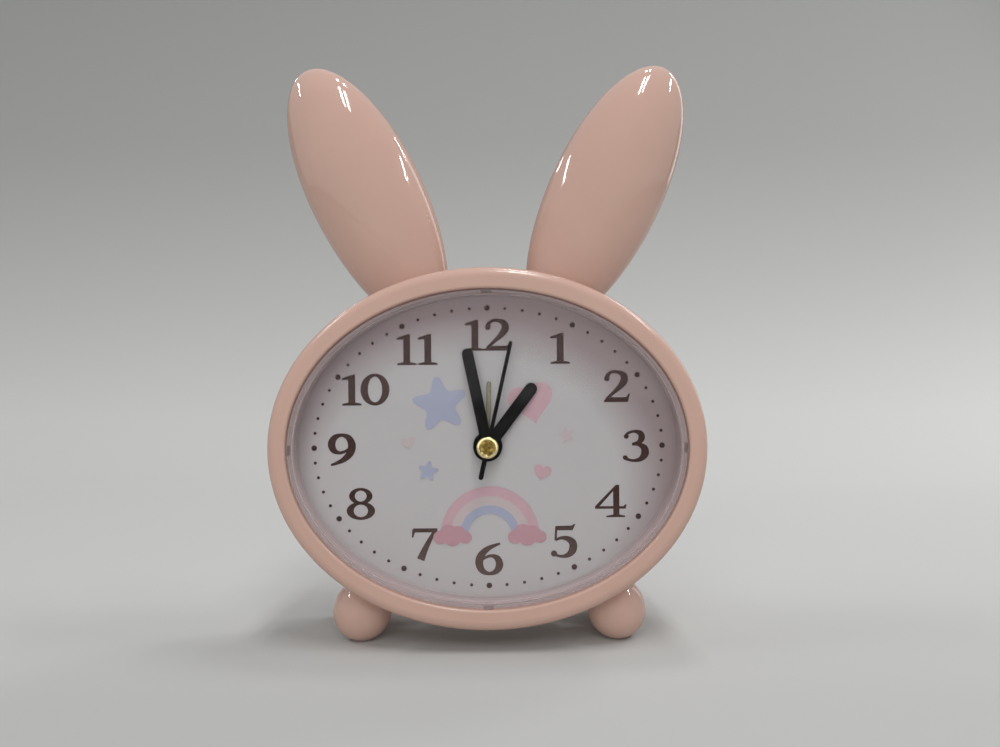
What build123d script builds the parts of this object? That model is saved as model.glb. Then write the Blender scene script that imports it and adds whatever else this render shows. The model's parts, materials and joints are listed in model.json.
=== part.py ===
from build123d import *
from math import atan2, cos, degrees, hypot, pi, radians, sin, sqrt, tan
import os

# A free-standing oval alarm clock with egg-shaped ears and feet, in millimetres.
# +Z is up and the dial looks towards -Y. The origin is the middle of the footprint, on the table.
# "Depth" is measured rearwards from the bezel's front, and x and z places are from the dial's centre.

os.makedirs("parts", exist_ok=True)

# ---- Driving dimensions -------------------------------------------------------------------------
TOTAL_DEPTH = 44.0
FRONT_Y = -TOTAL_DEPTH / 2
GAP = 0.15  # between pieces that move past each other
SLIP = 0.02  # between a screw or pin and its hole

# Feet: an egg, its flat, and the neck and plug that go up into the case
FOOT_X = 37.0
FOOT_Z = -48.2
FRONT_FOOT_DEPTH = 15.0
REAR_FOOT_DEPTH = 32.1
FOOT_RADIUS = 8.45
FOOT_FLAT = 7.95
FOOT_NECK = 5.5
FOOT_SHOULDER = 6.9
FOOT_NECK_TOP = 17.0
HUB_Z = FOOT_FLAT - FOOT_Z  # height of the dial's centre over the table

# Oval body, as half widths and half heights
BEZEL_OVAL = (60.6, 50.0)
OPENING_OVAL = (55.2, 43.95)
POCKET_OVAL = (58.0, 47.4)
BEZEL_INNER_WALL = 1.5
BEZEL_DEPTH = 11.0
BEZEL_FACE = 2.2
BEZEL_LEDGE = 7.7
BEZEL_OUTER_RADIUS = 2.8
BEZEL_INNER_RADIUS = 0.6

CASE_DEPTH = 38.0
CASE_FRONT_OVAL = (59.0, 48.4)
CASE_REAR_OVAL = (56.5, 45.9)
CASE_EDGE_RADIUS = 6.0
WALL = 2.2
CASE_INNER_EDGE_RADIUS = 3.8

# Snap hooks on the case's spigot, and the slots for them in the bezel
SPIGOT_OVAL = (57.85, 47.25)
SPIGOT_FRONT = 9.9
SNAP_ANGLES = (0, 50, 130, 180, 230, 310)
SNAP_WIDTH = 8.0
SNAP_FRONT = 10.0
SNAP_REAR = 10.7
SNAP_REACH = 0.45

# Lens: a clear cup with a flange behind the bezel's ledge
LENS_FRONT = 0.7
LENS_REAR = 9.2
LENS_THICKNESS = 1.1
LENS_OVAL = (54.9, 43.65)
LENS_FLANGE_OVAL = (57.5, 46.5)
LENS_EDGE_RADIUS = 0.5
NUB_SIZE = (2.8, 1.2)  # round the rim, and across it
NUB_PROUD = 0.3
NUB_INSET = 0.5  # of its middle, from the lens's side

# Dial card and the frame behind it
CARD_OVAL = (56.4, 45.4)
CARD_THICKNESS = 0.5
FRAME_OVAL = (56.6, 45.6)
FRAME_FRONT = LENS_REAR + CARD_THICKNESS
FRAME_REAR = 10.9
DIAL_HOLE = 4.2

# Long screws through the case into the dial frame
POST_PLACES = [(-36, -18), (36, -18), (-36, 18), (36, 18)]
POST_RADIUS = 4.2
POST_FRONT = 16.0
FRAME_BOSS_RADIUS = 3.0
WELL_RADIUS = 3.1
WELL_DEPTH = 30.0
SCREW_RADIUS = 1.3
SCREW_HEAD_RADIUS = 2.6
SCREW_HEAD = 2.0
CASE_SCREW_LENGTH = 18.0

# Ears: an egg along its own axis, flattened front to back, in two half shells
EAR_X = 36.0
EAR_Z = 75.0
EAR_DEPTH = 20.0
EAR_TILT = 25.8
EAR_HALF_WIDTH = 16.8
EAR_UPPER = 40.1
EAR_LOWER = 44.0
EAR_FLATTEN = 0.683
EAR_WALL = 1.8
EAR_FLOOR = -26.0
EAR_SOCKET_END = -41.0
STEM_RADIUS = 3.0
SOCKET_RADIUS = STEM_RADIUS + 0.1
SOCKET_BOSS = 6.0
STEM_SHORT = 0.3  # the stem ends this short of its socket, so that the screw pulls it tight
FOOT_SOCKET_TOP = 20.2
BODY_SCREW_HEAD_RADIUS = 3.55
BODY_SCREW_HEAD = 1.4
BODY_SCREW_LENGTH = 7.0

# Battery box in the case, and its sliding door
BATTERY_Z = -22.5
BATTERY_DEPTH = 29.2
BATTERY_RADIUS = 7.15
BATTERY_LENGTH = 49.3
BATTERY_NUB_RADIUS = 2.7
BATTERY_NUB = 1.2
BOX_INNER = (54.2, 15.2)
BOX_WALL = 1.2
BOX_FLOOR = 21.8
SADDLE_X = 15.0
PLATE = 0.4
CONTACT_X = BOX_INNER[0] / 2 - PLATE / 2
TAB_FRONT = 18.6
TAB_HEIGHT = 2.0
TAB_Z = -19.0
DOOR_DEPTH = 36.6
DOOR_TOP = -12.9
DOOR_INNER_HALF = 29.0
DOOR_OUTER_HALF = 28.4
DOOR_DROP = 45.0
DOOR_GROOVES = 5

# Controls on the back
KNOB_X = 10.0
KNOB_Z = 9.0
KNOB_RADIUS = 6.5
KNOB_FRONT = 38.4
KNOB_FLUTES = 24
SLEEVE_RADIUS = 2.5
SHAFT_RADIUS = 1.0
CONTROL_X = 24.0
BUTTON_RADIUS = 3.5
BUTTON_TRAVEL = 0.8
SLIDER_TRAVEL = 3.0
SLIDER_NIB = (3.8, 3.4)
SLIDER_FLANGE = (11.0, 6.0)
GRILLE_Z = 20.0

# Movement box
MOVEMENT_SIZE = (56.0, 40.0)
MOVEMENT_Z = 7.0
MOVEMENT_FRONT = FRAME_REAR
MOVEMENT_FLOOR = 11.9
MOVEMENT_REAR = 24.5
COVER_REAR = 25.5
MOVEMENT_WALL = 1.2
COLLAR_RADII = (4.0, 2.98)
COLLAR_FRONT = 8.9
LUG_PLACES = [(-31, -6), (31, -6), (-31, 22), (31, 22)]
LUG_FRONT = 13.0
LUG_REAR = 14.2
CORNER_PLACES = [(-25.4, -10.6), (25.4, -10.6), (-25.4, 24.4), (25.4, 24.4)]
SMALL_SCREW_RADIUS = 0.9
SMALL_SCREW_HEAD_RADIUS = 1.9
SMALL_SCREW_HEAD = 1.0
SMALL_SCREW_LENGTH = 3.9
PILOT_RADIUS = SMALL_SCREW_RADIUS + SLIP

# Nested tubes of the hands, from the inside out: outer radius, bore, front end
SECOND_ARBOR = 0.5
CANNON_TUBE = (1.2, 0.58, 6.2)
HOUR_TUBE = (2.0, 1.28, 7.2)
ALARM_TUBE = (2.9, 2.08, 8.2)
HAND_THICKNESS = 0.35
SECOND_HAND_DEPTHS = (5.1, 5.4)

# Wheel layers, front to back: front and rear depth of each
ALARM_LAYER = (12.5, 13.4)
HOUR_LAYER = (13.8, 14.7)
MINUTE_LAYER = (15.1, 16.0)
CENTER_LAYER = (16.4, 17.2)
THIRD_LAYER = (18.0, 18.8)
SECOND_LAYER = (19.6, 20.4)
ROTOR_LAYER = (21.6, 22.4)

# Stub teeth with straight flanks, in modules and shares of the pitch
TOOTH_SHARE = 0.40
TIP_HEIGHT = 0.6
ROOT_DEPTH = 0.85
FLANK_ANGLE = 20.0
ARBOR_RADIUS = 0.4
PIVOT_RADIUS = 0.3
PIVOT_HOLE = 0.35
PIVOT_FRONT = 11.3
PIVOT_REAR = 25.1

# Wheel centres, from the hub
SECOND_TO_INTERMEDIATE = 8.75
INTERMEDIATE_ANGLE = -30.0
INTERMEDIATE_TO_ROTOR = 6.0
THIRD_DISTANCE = 9.0
THIRD_ANGLE = 190.0
MINUTE_DISTANCE = 9.0

# Rear circuit board and the small parts on it
BOARD_SIZE = (62.0, 24.0)
BOARD_Z = 14.0
BOARD_FRONT = 31.0
BOARD_REAR = 32.2
BOARD_SCREWS = [(-28, 22), (28, 22)]
BUZZER_RADIUS = 6.0

# Night light over the dial
LIGHT_POCKET = (11.4, 2.6, 7.4)  # width, front, rear
LIGHT_WINDOW = (6.4, 3.4, 6.6)
LIGHT_POCKET_TOP = 47.6
LIGHT_BOARD_THICKNESS = 0.8
WIRE_RADIUS = 0.25
WIRE_Z = 47.05

# Hands: length, width and angle clockwise from twelve
MINUTE_HAND = (28.3, 3.2, -11.7)
HOUR_HAND = (22.1, 3.5, 37.3)
SECOND_HAND = (30.4, 1.1, 12.9)
SECOND_TAIL = (9.25, 1.35)
ALARM_HAND = (18.4, 1.3, 1.5)
HAND_HUB = 4.05
ALARM_HUB = 3.9
CAP_RADIUS = 3.05
CAP_FRONT = 3.9


# ---- Helpers ------------------------------------------------------------------------------------
def face_at(depth):
    """A plane parallel to the dial that looks forwards, centred on the hub's axis."""
    return Plane(origin=(0, FRONT_Y + depth, HUB_Z), x_dir=(1, 0, 0), z_dir=(0, -1, 0))


def disc(front, rear, radius, places=((0, 0),), mode=Mode.ADD):
    """Round bars along the clock's axis between two depths."""
    with BuildSketch(face_at(rear)) as outline:
        with Locations(*places):
            Circle(radius)
    extrude(outline.sketch, amount=rear - front, mode=mode)


def block(front, rear, size, places=((0, 0),), corner=0.0, mode=Mode.ADD):
    """Rectangular bars along the clock's axis between two depths."""
    with BuildSketch(face_at(rear)) as outline:
        with Locations(*places):
            if corner:
                RectangleRounded(*size, corner)
            else:
                Rectangle(*size)
    extrude(outline.sketch, amount=rear - front, mode=mode)


def oval(front, rear, half_sizes, inner=None, mode=Mode.ADD):
    """An elliptical plate or ring between two depths."""
    with BuildSketch(face_at(rear)) as outline:
        Ellipse(*half_sizes)
        if inner:
            Ellipse(*inner, mode=Mode.SUBTRACT)
    extrude(outline.sketch, amount=rear - front, mode=mode)


def smaller(half_sizes, wall):
    """An oval's half sizes less a wall's thickness."""
    return (half_sizes[0] - wall, half_sizes[1] - wall)


def snap_blocks(front, rear, reach, width, mode=Mode.ADD):
    """The snap hooks, or with a larger size their slots, square to the oval."""
    with BuildSketch(face_at(rear)) as outline:
        for angle in SNAP_ANGLES:
            x = SPIGOT_OVAL[0] * cos(radians(angle))
            z = SPIGOT_OVAL[1] * sin(radians(angle))
            normal = degrees(atan2(z / SPIGOT_OVAL[1] ** 2, x / SPIGOT_OVAL[0] ** 2))
            with Locations(Location((x, z, 0), (0, 0, normal))):
                Rectangle(2 * reach, width)
    extrude(outline.sketch, amount=rear - front, mode=mode)


def toothed(layer, module, teeth, start, place=(0, 0)):
    """A toothed wheel: a root disc and its trapezium teeth, the first at the start angle."""
    root_radius = module * (teeth / 2 - ROOT_DEPTH)
    tip_radius = module * (teeth / 2 + TIP_HEIGHT)
    slope = tan(radians(FLANK_ANGLE))
    half_base = TOOTH_SHARE * pi * module / 2 + ROOT_DEPTH * module * slope
    sunk = root_radius - sqrt(root_radius**2 - half_base**2)
    half_width = half_base + sunk * slope
    height = tip_radius - root_radius + sunk
    with BuildSketch(face_at(layer[1])) as outline:
        with Locations(place):
            Circle(root_radius)
            with PolarLocations(root_radius - sunk, teeth, start_angle=start):
                Trapezoid(
                    2 * half_width,
                    height,
                    90 - FLANK_ANGLE,
                    rotation=-90,
                    align=(Align.CENTER, Align.MIN),
                )
    extrude(outline.sketch, amount=layer[1] - layer[0])


def module_for(distance, teeth_a, teeth_b):
    """The module that two wheels need at a centre distance."""
    return 2 * distance / (teeth_a + teeth_b)


def meshing_start(driver_start, driver_teeth, follower_teeth, direction):
    """A follower's start angle that sets a gap on the driver's tooth at the line of centres."""
    offset = (driver_start - direction) * driver_teeth / follower_teeth
    return direction + 180 - offset + 180 / follower_teeth


def direction_to(place, other):
    """The angle of the line from one wheel centre to another."""
    return degrees(atan2(other[1] - place[1], other[0] - place[0]))


def polar(distance, angle):
    """A place at a distance and an angle from the hub."""
    return (distance * cos(radians(angle)), distance * sin(radians(angle)))


def arbor(front, rear, place=(0, 0), radius=ARBOR_RADIUS):
    """A steel arbor with a thinner pivot at each end."""
    disc(front, rear, radius, [place])
    disc(PIVOT_FRONT, front, PIVOT_RADIUS, [place])
    disc(rear, PIVOT_REAR, PIVOT_RADIUS, [place])


def hand_bar(length, width, angle, tail=0.0):
    """A hand's round-ended bar, turned clockwise from twelve, inside a sketch."""
    with Locations(Location((0, 0, 0), (0, 0, -angle))):
        with Locations((0, (length - tail) / 2)):
            SlotOverall(length + tail, width, rotation=90)


def wire_radii(points):
    """The largest tangent arc that each corner of a wire's route has room for."""
    radii = []
    for before, corner, after in zip(points, points[1:], points[2:]):
        run_in = Vector(*corner) - Vector(*before)
        run_out = Vector(*after) - Vector(*corner)
        turn = radians(run_in.get_angle(run_out))
        radii.append(0.45 * min(run_in.length, run_out.length) / tan(turn / 2))
    return radii


def wire(points):
    """A round wire along straight runs joined by tangent arcs."""
    with BuildLine() as route:
        FilletPolyline(*points, radius=wire_radii(points))
    with BuildSketch(Plane(origin=route.line @ 0, z_dir=route.line % 0)) as section:
        Circle(WIRE_RADIUS)
    sweep(section.sketch, path=route.line)


def inside_point(x, depth, z):
    """A point given by its place and depth."""
    return (x, FRONT_Y + depth, HUB_Z + z)


# ---- Body forms that other pieces are trimmed to ------------------------------------------------
with BuildPart() as case_form:
    with BuildSketch(face_at(BEZEL_DEPTH)):
        Ellipse(*CASE_FRONT_OVAL)
    with BuildSketch(face_at(CASE_DEPTH)):
        Ellipse(*CASE_REAR_OVAL)
    loft()
    fillet(case_form.faces().sort_by(Axis.Y)[-1].edges(), CASE_EDGE_RADIUS)

with BuildPart() as case_hollow:
    with BuildSketch(face_at(BEZEL_DEPTH)):
        Ellipse(*smaller(CASE_FRONT_OVAL, WALL))
    with BuildSketch(face_at(CASE_DEPTH - WALL)):
        Ellipse(*smaller(CASE_REAR_OVAL, WALL))
    loft()
    fillet(case_hollow.faces().sort_by(Axis.Y)[-1].edges(), CASE_INNER_EDGE_RADIUS)

with BuildPart() as body_form:
    add(case_form.part)
    oval(0, BEZEL_DEPTH, BEZEL_OVAL)

# ---- Front bezel --------------------------------------------------------------------------------
with BuildPart() as front_bezel:
    oval(0, BEZEL_DEPTH, BEZEL_OVAL)
    fillet(front_bezel.faces().sort_by(Axis.Y)[0].edges(), BEZEL_OUTER_RADIUS)
    oval(0, BEZEL_DEPTH, OPENING_OVAL, mode=Mode.SUBTRACT)
    front_edges = front_bezel.faces().sort_by(Axis.Y)[0].edges()
    fillet(front_edges.sort_by(SortBy.LENGTH)[0], BEZEL_INNER_RADIUS)
    oval(BEZEL_LEDGE, BEZEL_DEPTH, POCKET_OVAL, mode=Mode.SUBTRACT)
    # the hollow between the inner and the outer wall
    inner_wall = smaller(OPENING_OVAL, -BEZEL_INNER_WALL)
    oval(BEZEL_FACE, BEZEL_LEDGE, POCKET_OVAL, inner_wall, Mode.SUBTRACT)
    snap_blocks(SNAP_FRONT - GAP, SNAP_REAR + GAP, SNAP_REACH + 2 * GAP, SNAP_WIDTH + 1, Mode.SUBTRACT)
    # the night light's pocket behind the face, and its window through the inner wall
    pocket_height = LIGHT_POCKET_TOP - inner_wall[1]
    pocket_place = [(0, inner_wall[1] + pocket_height / 2)]
    pocket_size = (LIGHT_POCKET[0], pocket_height)
    block(LIGHT_POCKET[1], LIGHT_POCKET[2], pocket_size, pocket_place, mode=Mode.SUBTRACT)
    window_size = (LIGHT_WINDOW[0], 3 * BEZEL_INNER_WALL)
    window_place = [(0, OPENING_OVAL[1] + BEZEL_INNER_WALL / 2)]
    block(LIGHT_WINDOW[1], LIGHT_WINDOW[2], window_size, window_place, mode=Mode.SUBTRACT)
front_bezel.part.label = "front_bezel"
export_step(front_bezel.part, "parts/front_bezel.step")

# ---- Lens ---------------------------------------------------------------------------------------
with BuildPart() as lens:
    oval(LENS_FRONT, LENS_REAR, LENS_OVAL)
    fillet(lens.faces().sort_by(Axis.Y)[0].edges(), LENS_EDGE_RADIUS)
    oval(BEZEL_LEDGE, LENS_REAR, LENS_FLANGE_OVAL)
    # moulding nubs on the front's rim
    nub_x, nub_z = smaller(LENS_OVAL, NUB_INSET)
    nub_front = LENS_FRONT - NUB_PROUD
    nub_rear = LENS_FRONT + LENS_THICKNESS / 2
    block(nub_front, nub_rear, NUB_SIZE, [(0, nub_z), (0, -nub_z)], 0.3)
    block(nub_front, nub_rear, NUB_SIZE[::-1], [(nub_x, 0), (-nub_x, 0)], 0.3)
    hollow = smaller(LENS_OVAL, LENS_THICKNESS)
    oval(LENS_FRONT + LENS_THICKNESS, LENS_REAR, hollow, mode=Mode.SUBTRACT)
lens.part.label = "lens"
export_step(lens.part, "parts/lens.step")

# ---- Dial card and dial frame -------------------------------------------------------------------
with BuildPart() as dial_card:
    oval(LENS_REAR, FRAME_FRONT, CARD_OVAL)
    disc(LENS_REAR, FRAME_FRONT, DIAL_HOLE, mode=Mode.SUBTRACT)
dial_card.part.label = "dial_card"
export_step(dial_card.part, "parts/dial_card.step")

with BuildPart() as dial_frame:
    oval(FRAME_FRONT, FRAME_REAR, FRAME_OVAL)
    disc(FRAME_REAR, POST_FRONT, FRAME_BOSS_RADIUS, POST_PLACES)
    disc(FRAME_REAR, LUG_FRONT, 2.2, LUG_PLACES)
    disc(FRAME_FRONT, FRAME_REAR, DIAL_HOLE, mode=Mode.SUBTRACT)
    disc(FRAME_REAR, POST_FRONT, SCREW_RADIUS + SLIP, POST_PLACES, Mode.SUBTRACT)
    disc(FRAME_FRONT + 0.5, LUG_FRONT, PILOT_RADIUS, LUG_PLACES, Mode.SUBTRACT)
dial_frame.part.label = "dial_frame"
export_step(dial_frame.part, "parts/dial_frame.step")


# ---- Rear case ----------------------------------------------------------------------------------
def ear_plane(side):
    """The ear's own plane: its normal is the ear's long axis, and its origin the ear's middle."""
    tilt = radians(EAR_TILT)
    return Plane(
        origin=(side * EAR_X, FRONT_Y + EAR_DEPTH, HUB_Z + EAR_Z),
        x_dir=(cos(tilt), 0, -side * sin(tilt)),
        z_dir=(side * sin(tilt), 0, cos(tilt)),
    )


def foot_plane(side, depth):
    """A level plane through the middle of a foot's egg."""
    return Plane(origin=(side * FOOT_X, FRONT_Y + depth, HUB_Z + FOOT_Z))


SIDES = {"left": -1, "right": 1}
FOOT_ROWS = {"front": FRONT_FOOT_DEPTH, "rear": REAR_FOOT_DEPTH}
FOOT_PLANES = [foot_plane(side, depth) for side in SIDES.values() for depth in FOOT_ROWS.values()]
EAR_PLANES = [ear_plane(side) for side in SIDES.values()]

# bosses with a square seat for the screws of the ears and feet
with BuildPart() as socket_bosses:
    with BuildSketch(*[plane.offset(EAR_SOCKET_END) for plane in EAR_PLANES]):
        Circle(SOCKET_BOSS)
    extrude(amount=-EAR_SOCKET_END / 2)
    with BuildSketch(*[plane.offset(FOOT_SOCKET_TOP) for plane in FOOT_PLANES]):
        Circle(SOCKET_BOSS)
    extrude(amount=-FOOT_SOCKET_TOP)
    add(case_form.part, mode=Mode.INTERSECT)

REAR_SKIN = CASE_DEPTH - WALL
DOOR_SLOPE = (DOOR_INNER_HALF - DOOR_OUTER_HALF) / (CASE_DEPTH - DOOR_DEPTH)

with BuildPart() as rear_case:
    add(case_form.part)
    add(case_hollow.part, mode=Mode.SUBTRACT)
    add(socket_bosses.part)
    # spigot and snap hooks that go into the bezel
    oval(SPIGOT_FRONT, BEZEL_DEPTH + 1, SPIGOT_OVAL, smaller(CASE_FRONT_OVAL, WALL))
    snap_blocks(SNAP_FRONT, SNAP_REAR, SNAP_REACH, SNAP_WIDTH)
    # screw posts, and short posts for the circuit board
    disc(POST_FRONT, REAR_SKIN + 0.5, POST_RADIUS, POST_PLACES)
    disc(BOARD_REAR, REAR_SKIN + 0.5, 2.4, BOARD_SCREWS)
    # battery box with two saddles for the cell
    box_outer = (BOX_INNER[0] + 2 * BOX_WALL, BOX_INNER[1] + 2 * BOX_WALL)
    block(BOX_FLOOR - BOX_WALL, REAR_SKIN + 0.5, box_outer, [(0, BATTERY_Z)], 1.0)
    block(BOX_FLOOR, DOOR_DEPTH, BOX_INNER, [(0, BATTERY_Z)], mode=Mode.SUBTRACT)
    tab_slots = [(-CONTACT_X, TAB_Z), (CONTACT_X, TAB_Z)]
    slot_hole = (PLATE + 2 * GAP, TAB_HEIGHT + 2 * GAP)
    block(BOX_FLOOR - BOX_WALL, BOX_FLOOR, slot_hole, tab_slots, mode=Mode.SUBTRACT)
    saddles = [(-SADDLE_X, BATTERY_Z), (SADDLE_X, BATTERY_Z)]
    block(BOX_FLOOR, BATTERY_DEPTH - 3, (BOX_WALL, BOX_INNER[1]), saddles)
    with BuildSketch(Plane.YZ):
        with Locations((FRONT_Y + BATTERY_DEPTH, HUB_Z + BATTERY_Z)):
            Circle(BATTERY_RADIUS + SLIP)
    extrude(amount=SADDLE_X + BOX_WALL, both=True, mode=Mode.SUBTRACT)
    # dovetailed recess for the door, open at the bottom
    with BuildSketch(Plane.XY.offset(HUB_Z + DOOR_TOP)):
        with BuildLine():
            Polyline(
                (-DOOR_INNER_HALF, FRONT_Y + DOOR_DEPTH),
                (DOOR_INNER_HALF, FRONT_Y + DOOR_DEPTH),
                (DOOR_OUTER_HALF - DOOR_SLOPE, FRONT_Y + CASE_DEPTH + 1),
                (DOOR_SLOPE - DOOR_OUTER_HALF, FRONT_Y + CASE_DEPTH + 1),
                close=True,
            )
        make_face()
    extrude(amount=-DOOR_DROP, mode=Mode.SUBTRACT)
    # screw holes and their wells
    disc(POST_FRONT, CASE_DEPTH, SCREW_RADIUS + GAP, POST_PLACES, Mode.SUBTRACT)
    disc(WELL_DEPTH, CASE_DEPTH, WELL_RADIUS, POST_PLACES, Mode.SUBTRACT)
    disc(BOARD_REAR, REAR_SKIN - 0.3, PILOT_RADIUS, BOARD_SCREWS, Mode.SUBTRACT)
    with BuildSketch(*[plane.offset(EAR_SOCKET_END - 1) for plane in EAR_PLANES]):
        Circle(SOCKET_RADIUS)
    extrude(amount=-EAR_SOCKET_END / 2, mode=Mode.SUBTRACT)
    with BuildSketch(*[plane.offset(FOOT_SOCKET_TOP + 1) for plane in FOOT_PLANES]):
        Circle(SOCKET_RADIUS)
    extrude(amount=-FOOT_SOCKET_TOP, mode=Mode.SUBTRACT)
    # holes for the controls and the sounder
    knob_places = [(-KNOB_X, KNOB_Z), (KNOB_X, KNOB_Z)]
    disc(REAR_SKIN, CASE_DEPTH, SLEEVE_RADIUS + GAP, knob_places, Mode.SUBTRACT)
    button_place = [(-CONTROL_X, KNOB_Z)]
    disc(REAR_SKIN, CASE_DEPTH, BUTTON_RADIUS + GAP, button_place, Mode.SUBTRACT)
    slot_size = (SLIDER_NIB[0] + SLIDER_TRAVEL + 2 * GAP, SLIDER_NIB[1] + 2 * GAP)
    block(REAR_SKIN, CASE_DEPTH, slot_size, [(CONTROL_X, KNOB_Z)], mode=Mode.SUBTRACT)
    with BuildSketch(face_at(CASE_DEPTH)):
        with Locations((0, GRILLE_Z)):
            Circle(0.8)
            with PolarLocations(2.6, 6):
                Circle(0.8)
            with PolarLocations(5.2, 12):
                Circle(0.8)
    extrude(amount=WALL, mode=Mode.SUBTRACT)
    # notch in the rim for the night light's wires
    notch_height = 3.0
    notch_place = [(0, WIRE_Z + WIRE_RADIUS + GAP - notch_height / 2)]
    block(SPIGOT_FRONT, BEZEL_DEPTH + 4, (3.2, notch_height), notch_place, mode=Mode.SUBTRACT)
rear_case.part.label = "rear_case"
export_step(rear_case.part, "parts/rear_case.step")

# ---- Battery door: a slice of the case's own skin, so it lies flush ------------------------------
with BuildPart() as battery_door:
    with BuildSketch(Plane.XY.offset(HUB_Z + DOOR_TOP - GAP)):
        with BuildLine():
            Polyline(
                (-DOOR_INNER_HALF + GAP, FRONT_Y + DOOR_DEPTH + GAP),
                (DOOR_INNER_HALF - GAP, FRONT_Y + DOOR_DEPTH + GAP),
                (DOOR_OUTER_HALF - DOOR_SLOPE - GAP, FRONT_Y + CASE_DEPTH + 1),
                (DOOR_SLOPE - DOOR_OUTER_HALF + GAP, FRONT_Y + CASE_DEPTH + 1),
                close=True,
            )
        make_face()
    extrude(amount=-DOOR_DROP)
    add(case_form.part, mode=Mode.INTERSECT)
    # grip grooves
    with BuildSketch(face_at(CASE_DEPTH)):
        with Locations((0, DOOR_TOP - 8)):
            with GridLocations(1, 2.2, 1, DOOR_GROOVES):
                SlotOverall(14, 1.0)
    extrude(amount=0.5, mode=Mode.SUBTRACT)
battery_door.part.label = "battery_door"
export_step(battery_door.part, "parts/battery_door.step")

# ---- Ears: two half shells each, trimmed to the body, with half of the stem on each --------------
def ear_egg(inset):
    """The ear's egg at the origin with its long axis upright, made smaller by an inset."""
    width = EAR_HALF_WIDTH - inset
    with BuildSketch(Plane.XZ) as outline:
        with BuildLine():
            EllipticalCenterArc((0, 0), width, EAR_UPPER - inset, start_angle=0, arc_size=90)
            EllipticalCenterArc((0, 0), width, EAR_LOWER - inset, start_angle=-90, arc_size=90)
            Line((0, EAR_UPPER - inset), (0, inset - EAR_LOWER))
        make_face()
    revolve(outline.sketch, axis=Axis.Z)
    scale(by=(1, EAR_FLATTEN, 1))


with BuildPart() as ear_hollow:
    ear_egg(EAR_WALL)
    split(bisect_by=Plane.XY.offset(EAR_FLOOR), keep=Keep.TOP)

with BuildPart() as ear_form:
    ear_egg(0)
    add(ear_hollow.part, mode=Mode.SUBTRACT)

for side_name, side in SIDES.items():
    stem_end = EAR_SOCKET_END + STEM_SHORT
    with BuildPart() as whole_ear:
        with Locations(ear_plane(side).location):
            add(ear_form.part)
        add(body_form.part, mode=Mode.SUBTRACT)
        with BuildSketch(ear_plane(side).offset(stem_end)):
            Circle(STEM_RADIUS)
        extrude(amount=EAR_FLOOR - 1 - stem_end)
        with BuildSketch(ear_plane(side).offset(stem_end)):
            Circle(SCREW_RADIUS + SLIP)
        extrude(amount=BODY_SCREW_LENGTH, mode=Mode.SUBTRACT)
    seam = Plane.XZ.offset(-FRONT_Y - EAR_DEPTH)
    for half_name, half in {"front": Keep.TOP, "rear": Keep.BOTTOM}.items():
        with BuildPart() as ear_half:
            add(whole_ear.part)
            split(bisect_by=seam, keep=half)
        ear_half.part.label = f"{side_name}_ear_{half_name}"
        export_step(ear_half.part, f"parts/{side_name}_ear_{half_name}.step")

# ---- Feet ---------------------------------------------------------------------------------------
with BuildPart() as foot_form:
    with BuildSketch(Plane.XZ):
        with BuildLine():
            flat_radius = sqrt(FOOT_RADIUS**2 - FOOT_FLAT**2)
            flat_angle = -degrees(atan2(FOOT_FLAT, flat_radius))
            ball = CenterArc((0, 0), FOOT_RADIUS, flat_angle, -flat_angle)
            egg = TangentArc((FOOT_RADIUS, 0), (FOOT_NECK, FOOT_SHOULDER), tangent=(0, 1))
            Polyline(egg @ 1, (FOOT_NECK, FOOT_NECK_TOP), (0, FOOT_NECK_TOP), (0, -FOOT_FLAT), ball @ 0)
        make_face()
    revolve(axis=Axis.Z)

for row_name, depth in FOOT_ROWS.items():
    for side_name, side in SIDES.items():
        plug_top = FOOT_SOCKET_TOP - STEM_SHORT
        with BuildPart() as foot:
            with Locations(foot_plane(side, depth).location):
                add(foot_form.part)
            add(body_form.part, mode=Mode.SUBTRACT)
            with BuildSketch(foot_plane(side, depth)):
                Circle(STEM_RADIUS)
            extrude(amount=plug_top)
            with BuildSketch(foot_plane(side, depth).offset(plug_top)):
                Circle(SCREW_RADIUS + SLIP)
            extrude(amount=-BODY_SCREW_LENGTH, mode=Mode.SUBTRACT)
        foot.part.label = f"{row_name}_{side_name}_foot"
        export_step(foot.part, f"parts/{row_name}_{side_name}_foot.step")

# ---- Screws -------------------------------------------------------------------------------------
with BuildPart() as case_screws:
    disc(WELL_DEPTH, WELL_DEPTH + SCREW_HEAD, SCREW_HEAD_RADIUS, POST_PLACES)
    fillet(case_screws.faces().sort_by(Axis.Y)[-4:].edges(), 0.6)
    disc(WELL_DEPTH - CASE_SCREW_LENGTH, WELL_DEPTH, SCREW_RADIUS, POST_PLACES)
    # cross slots
    for size in ((2.8, 0.6), (0.6, 2.8)):
        block(WELL_DEPTH + 1, WELL_DEPTH + SCREW_HEAD, size, POST_PLACES, mode=Mode.SUBTRACT)
case_screws.part.label = "case_screws"
export_step(case_screws.part, "parts/case_screws.step")

with BuildPart() as ear_and_foot_screws:
    ear_seats = [plane.offset(EAR_SOCKET_END) for plane in EAR_PLANES]
    foot_seats = [plane.offset(FOOT_SOCKET_TOP) for plane in FOOT_PLANES]
    with BuildSketch(*ear_seats):
        Circle(BODY_SCREW_HEAD_RADIUS)
    extrude(amount=-BODY_SCREW_HEAD)
    with BuildSketch(*foot_seats):
        Circle(BODY_SCREW_HEAD_RADIUS)
    extrude(amount=BODY_SCREW_HEAD)
    with BuildSketch(*ear_seats):
        Circle(SCREW_RADIUS)
    extrude(amount=BODY_SCREW_LENGTH)
    with BuildSketch(*foot_seats):
        Circle(SCREW_RADIUS)
    extrude(amount=-BODY_SCREW_LENGTH)
ear_and_foot_screws.part.label = "ear_and_foot_screws"
export_step(ear_and_foot_screws.part, "parts/ear_and_foot_screws.step")

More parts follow.
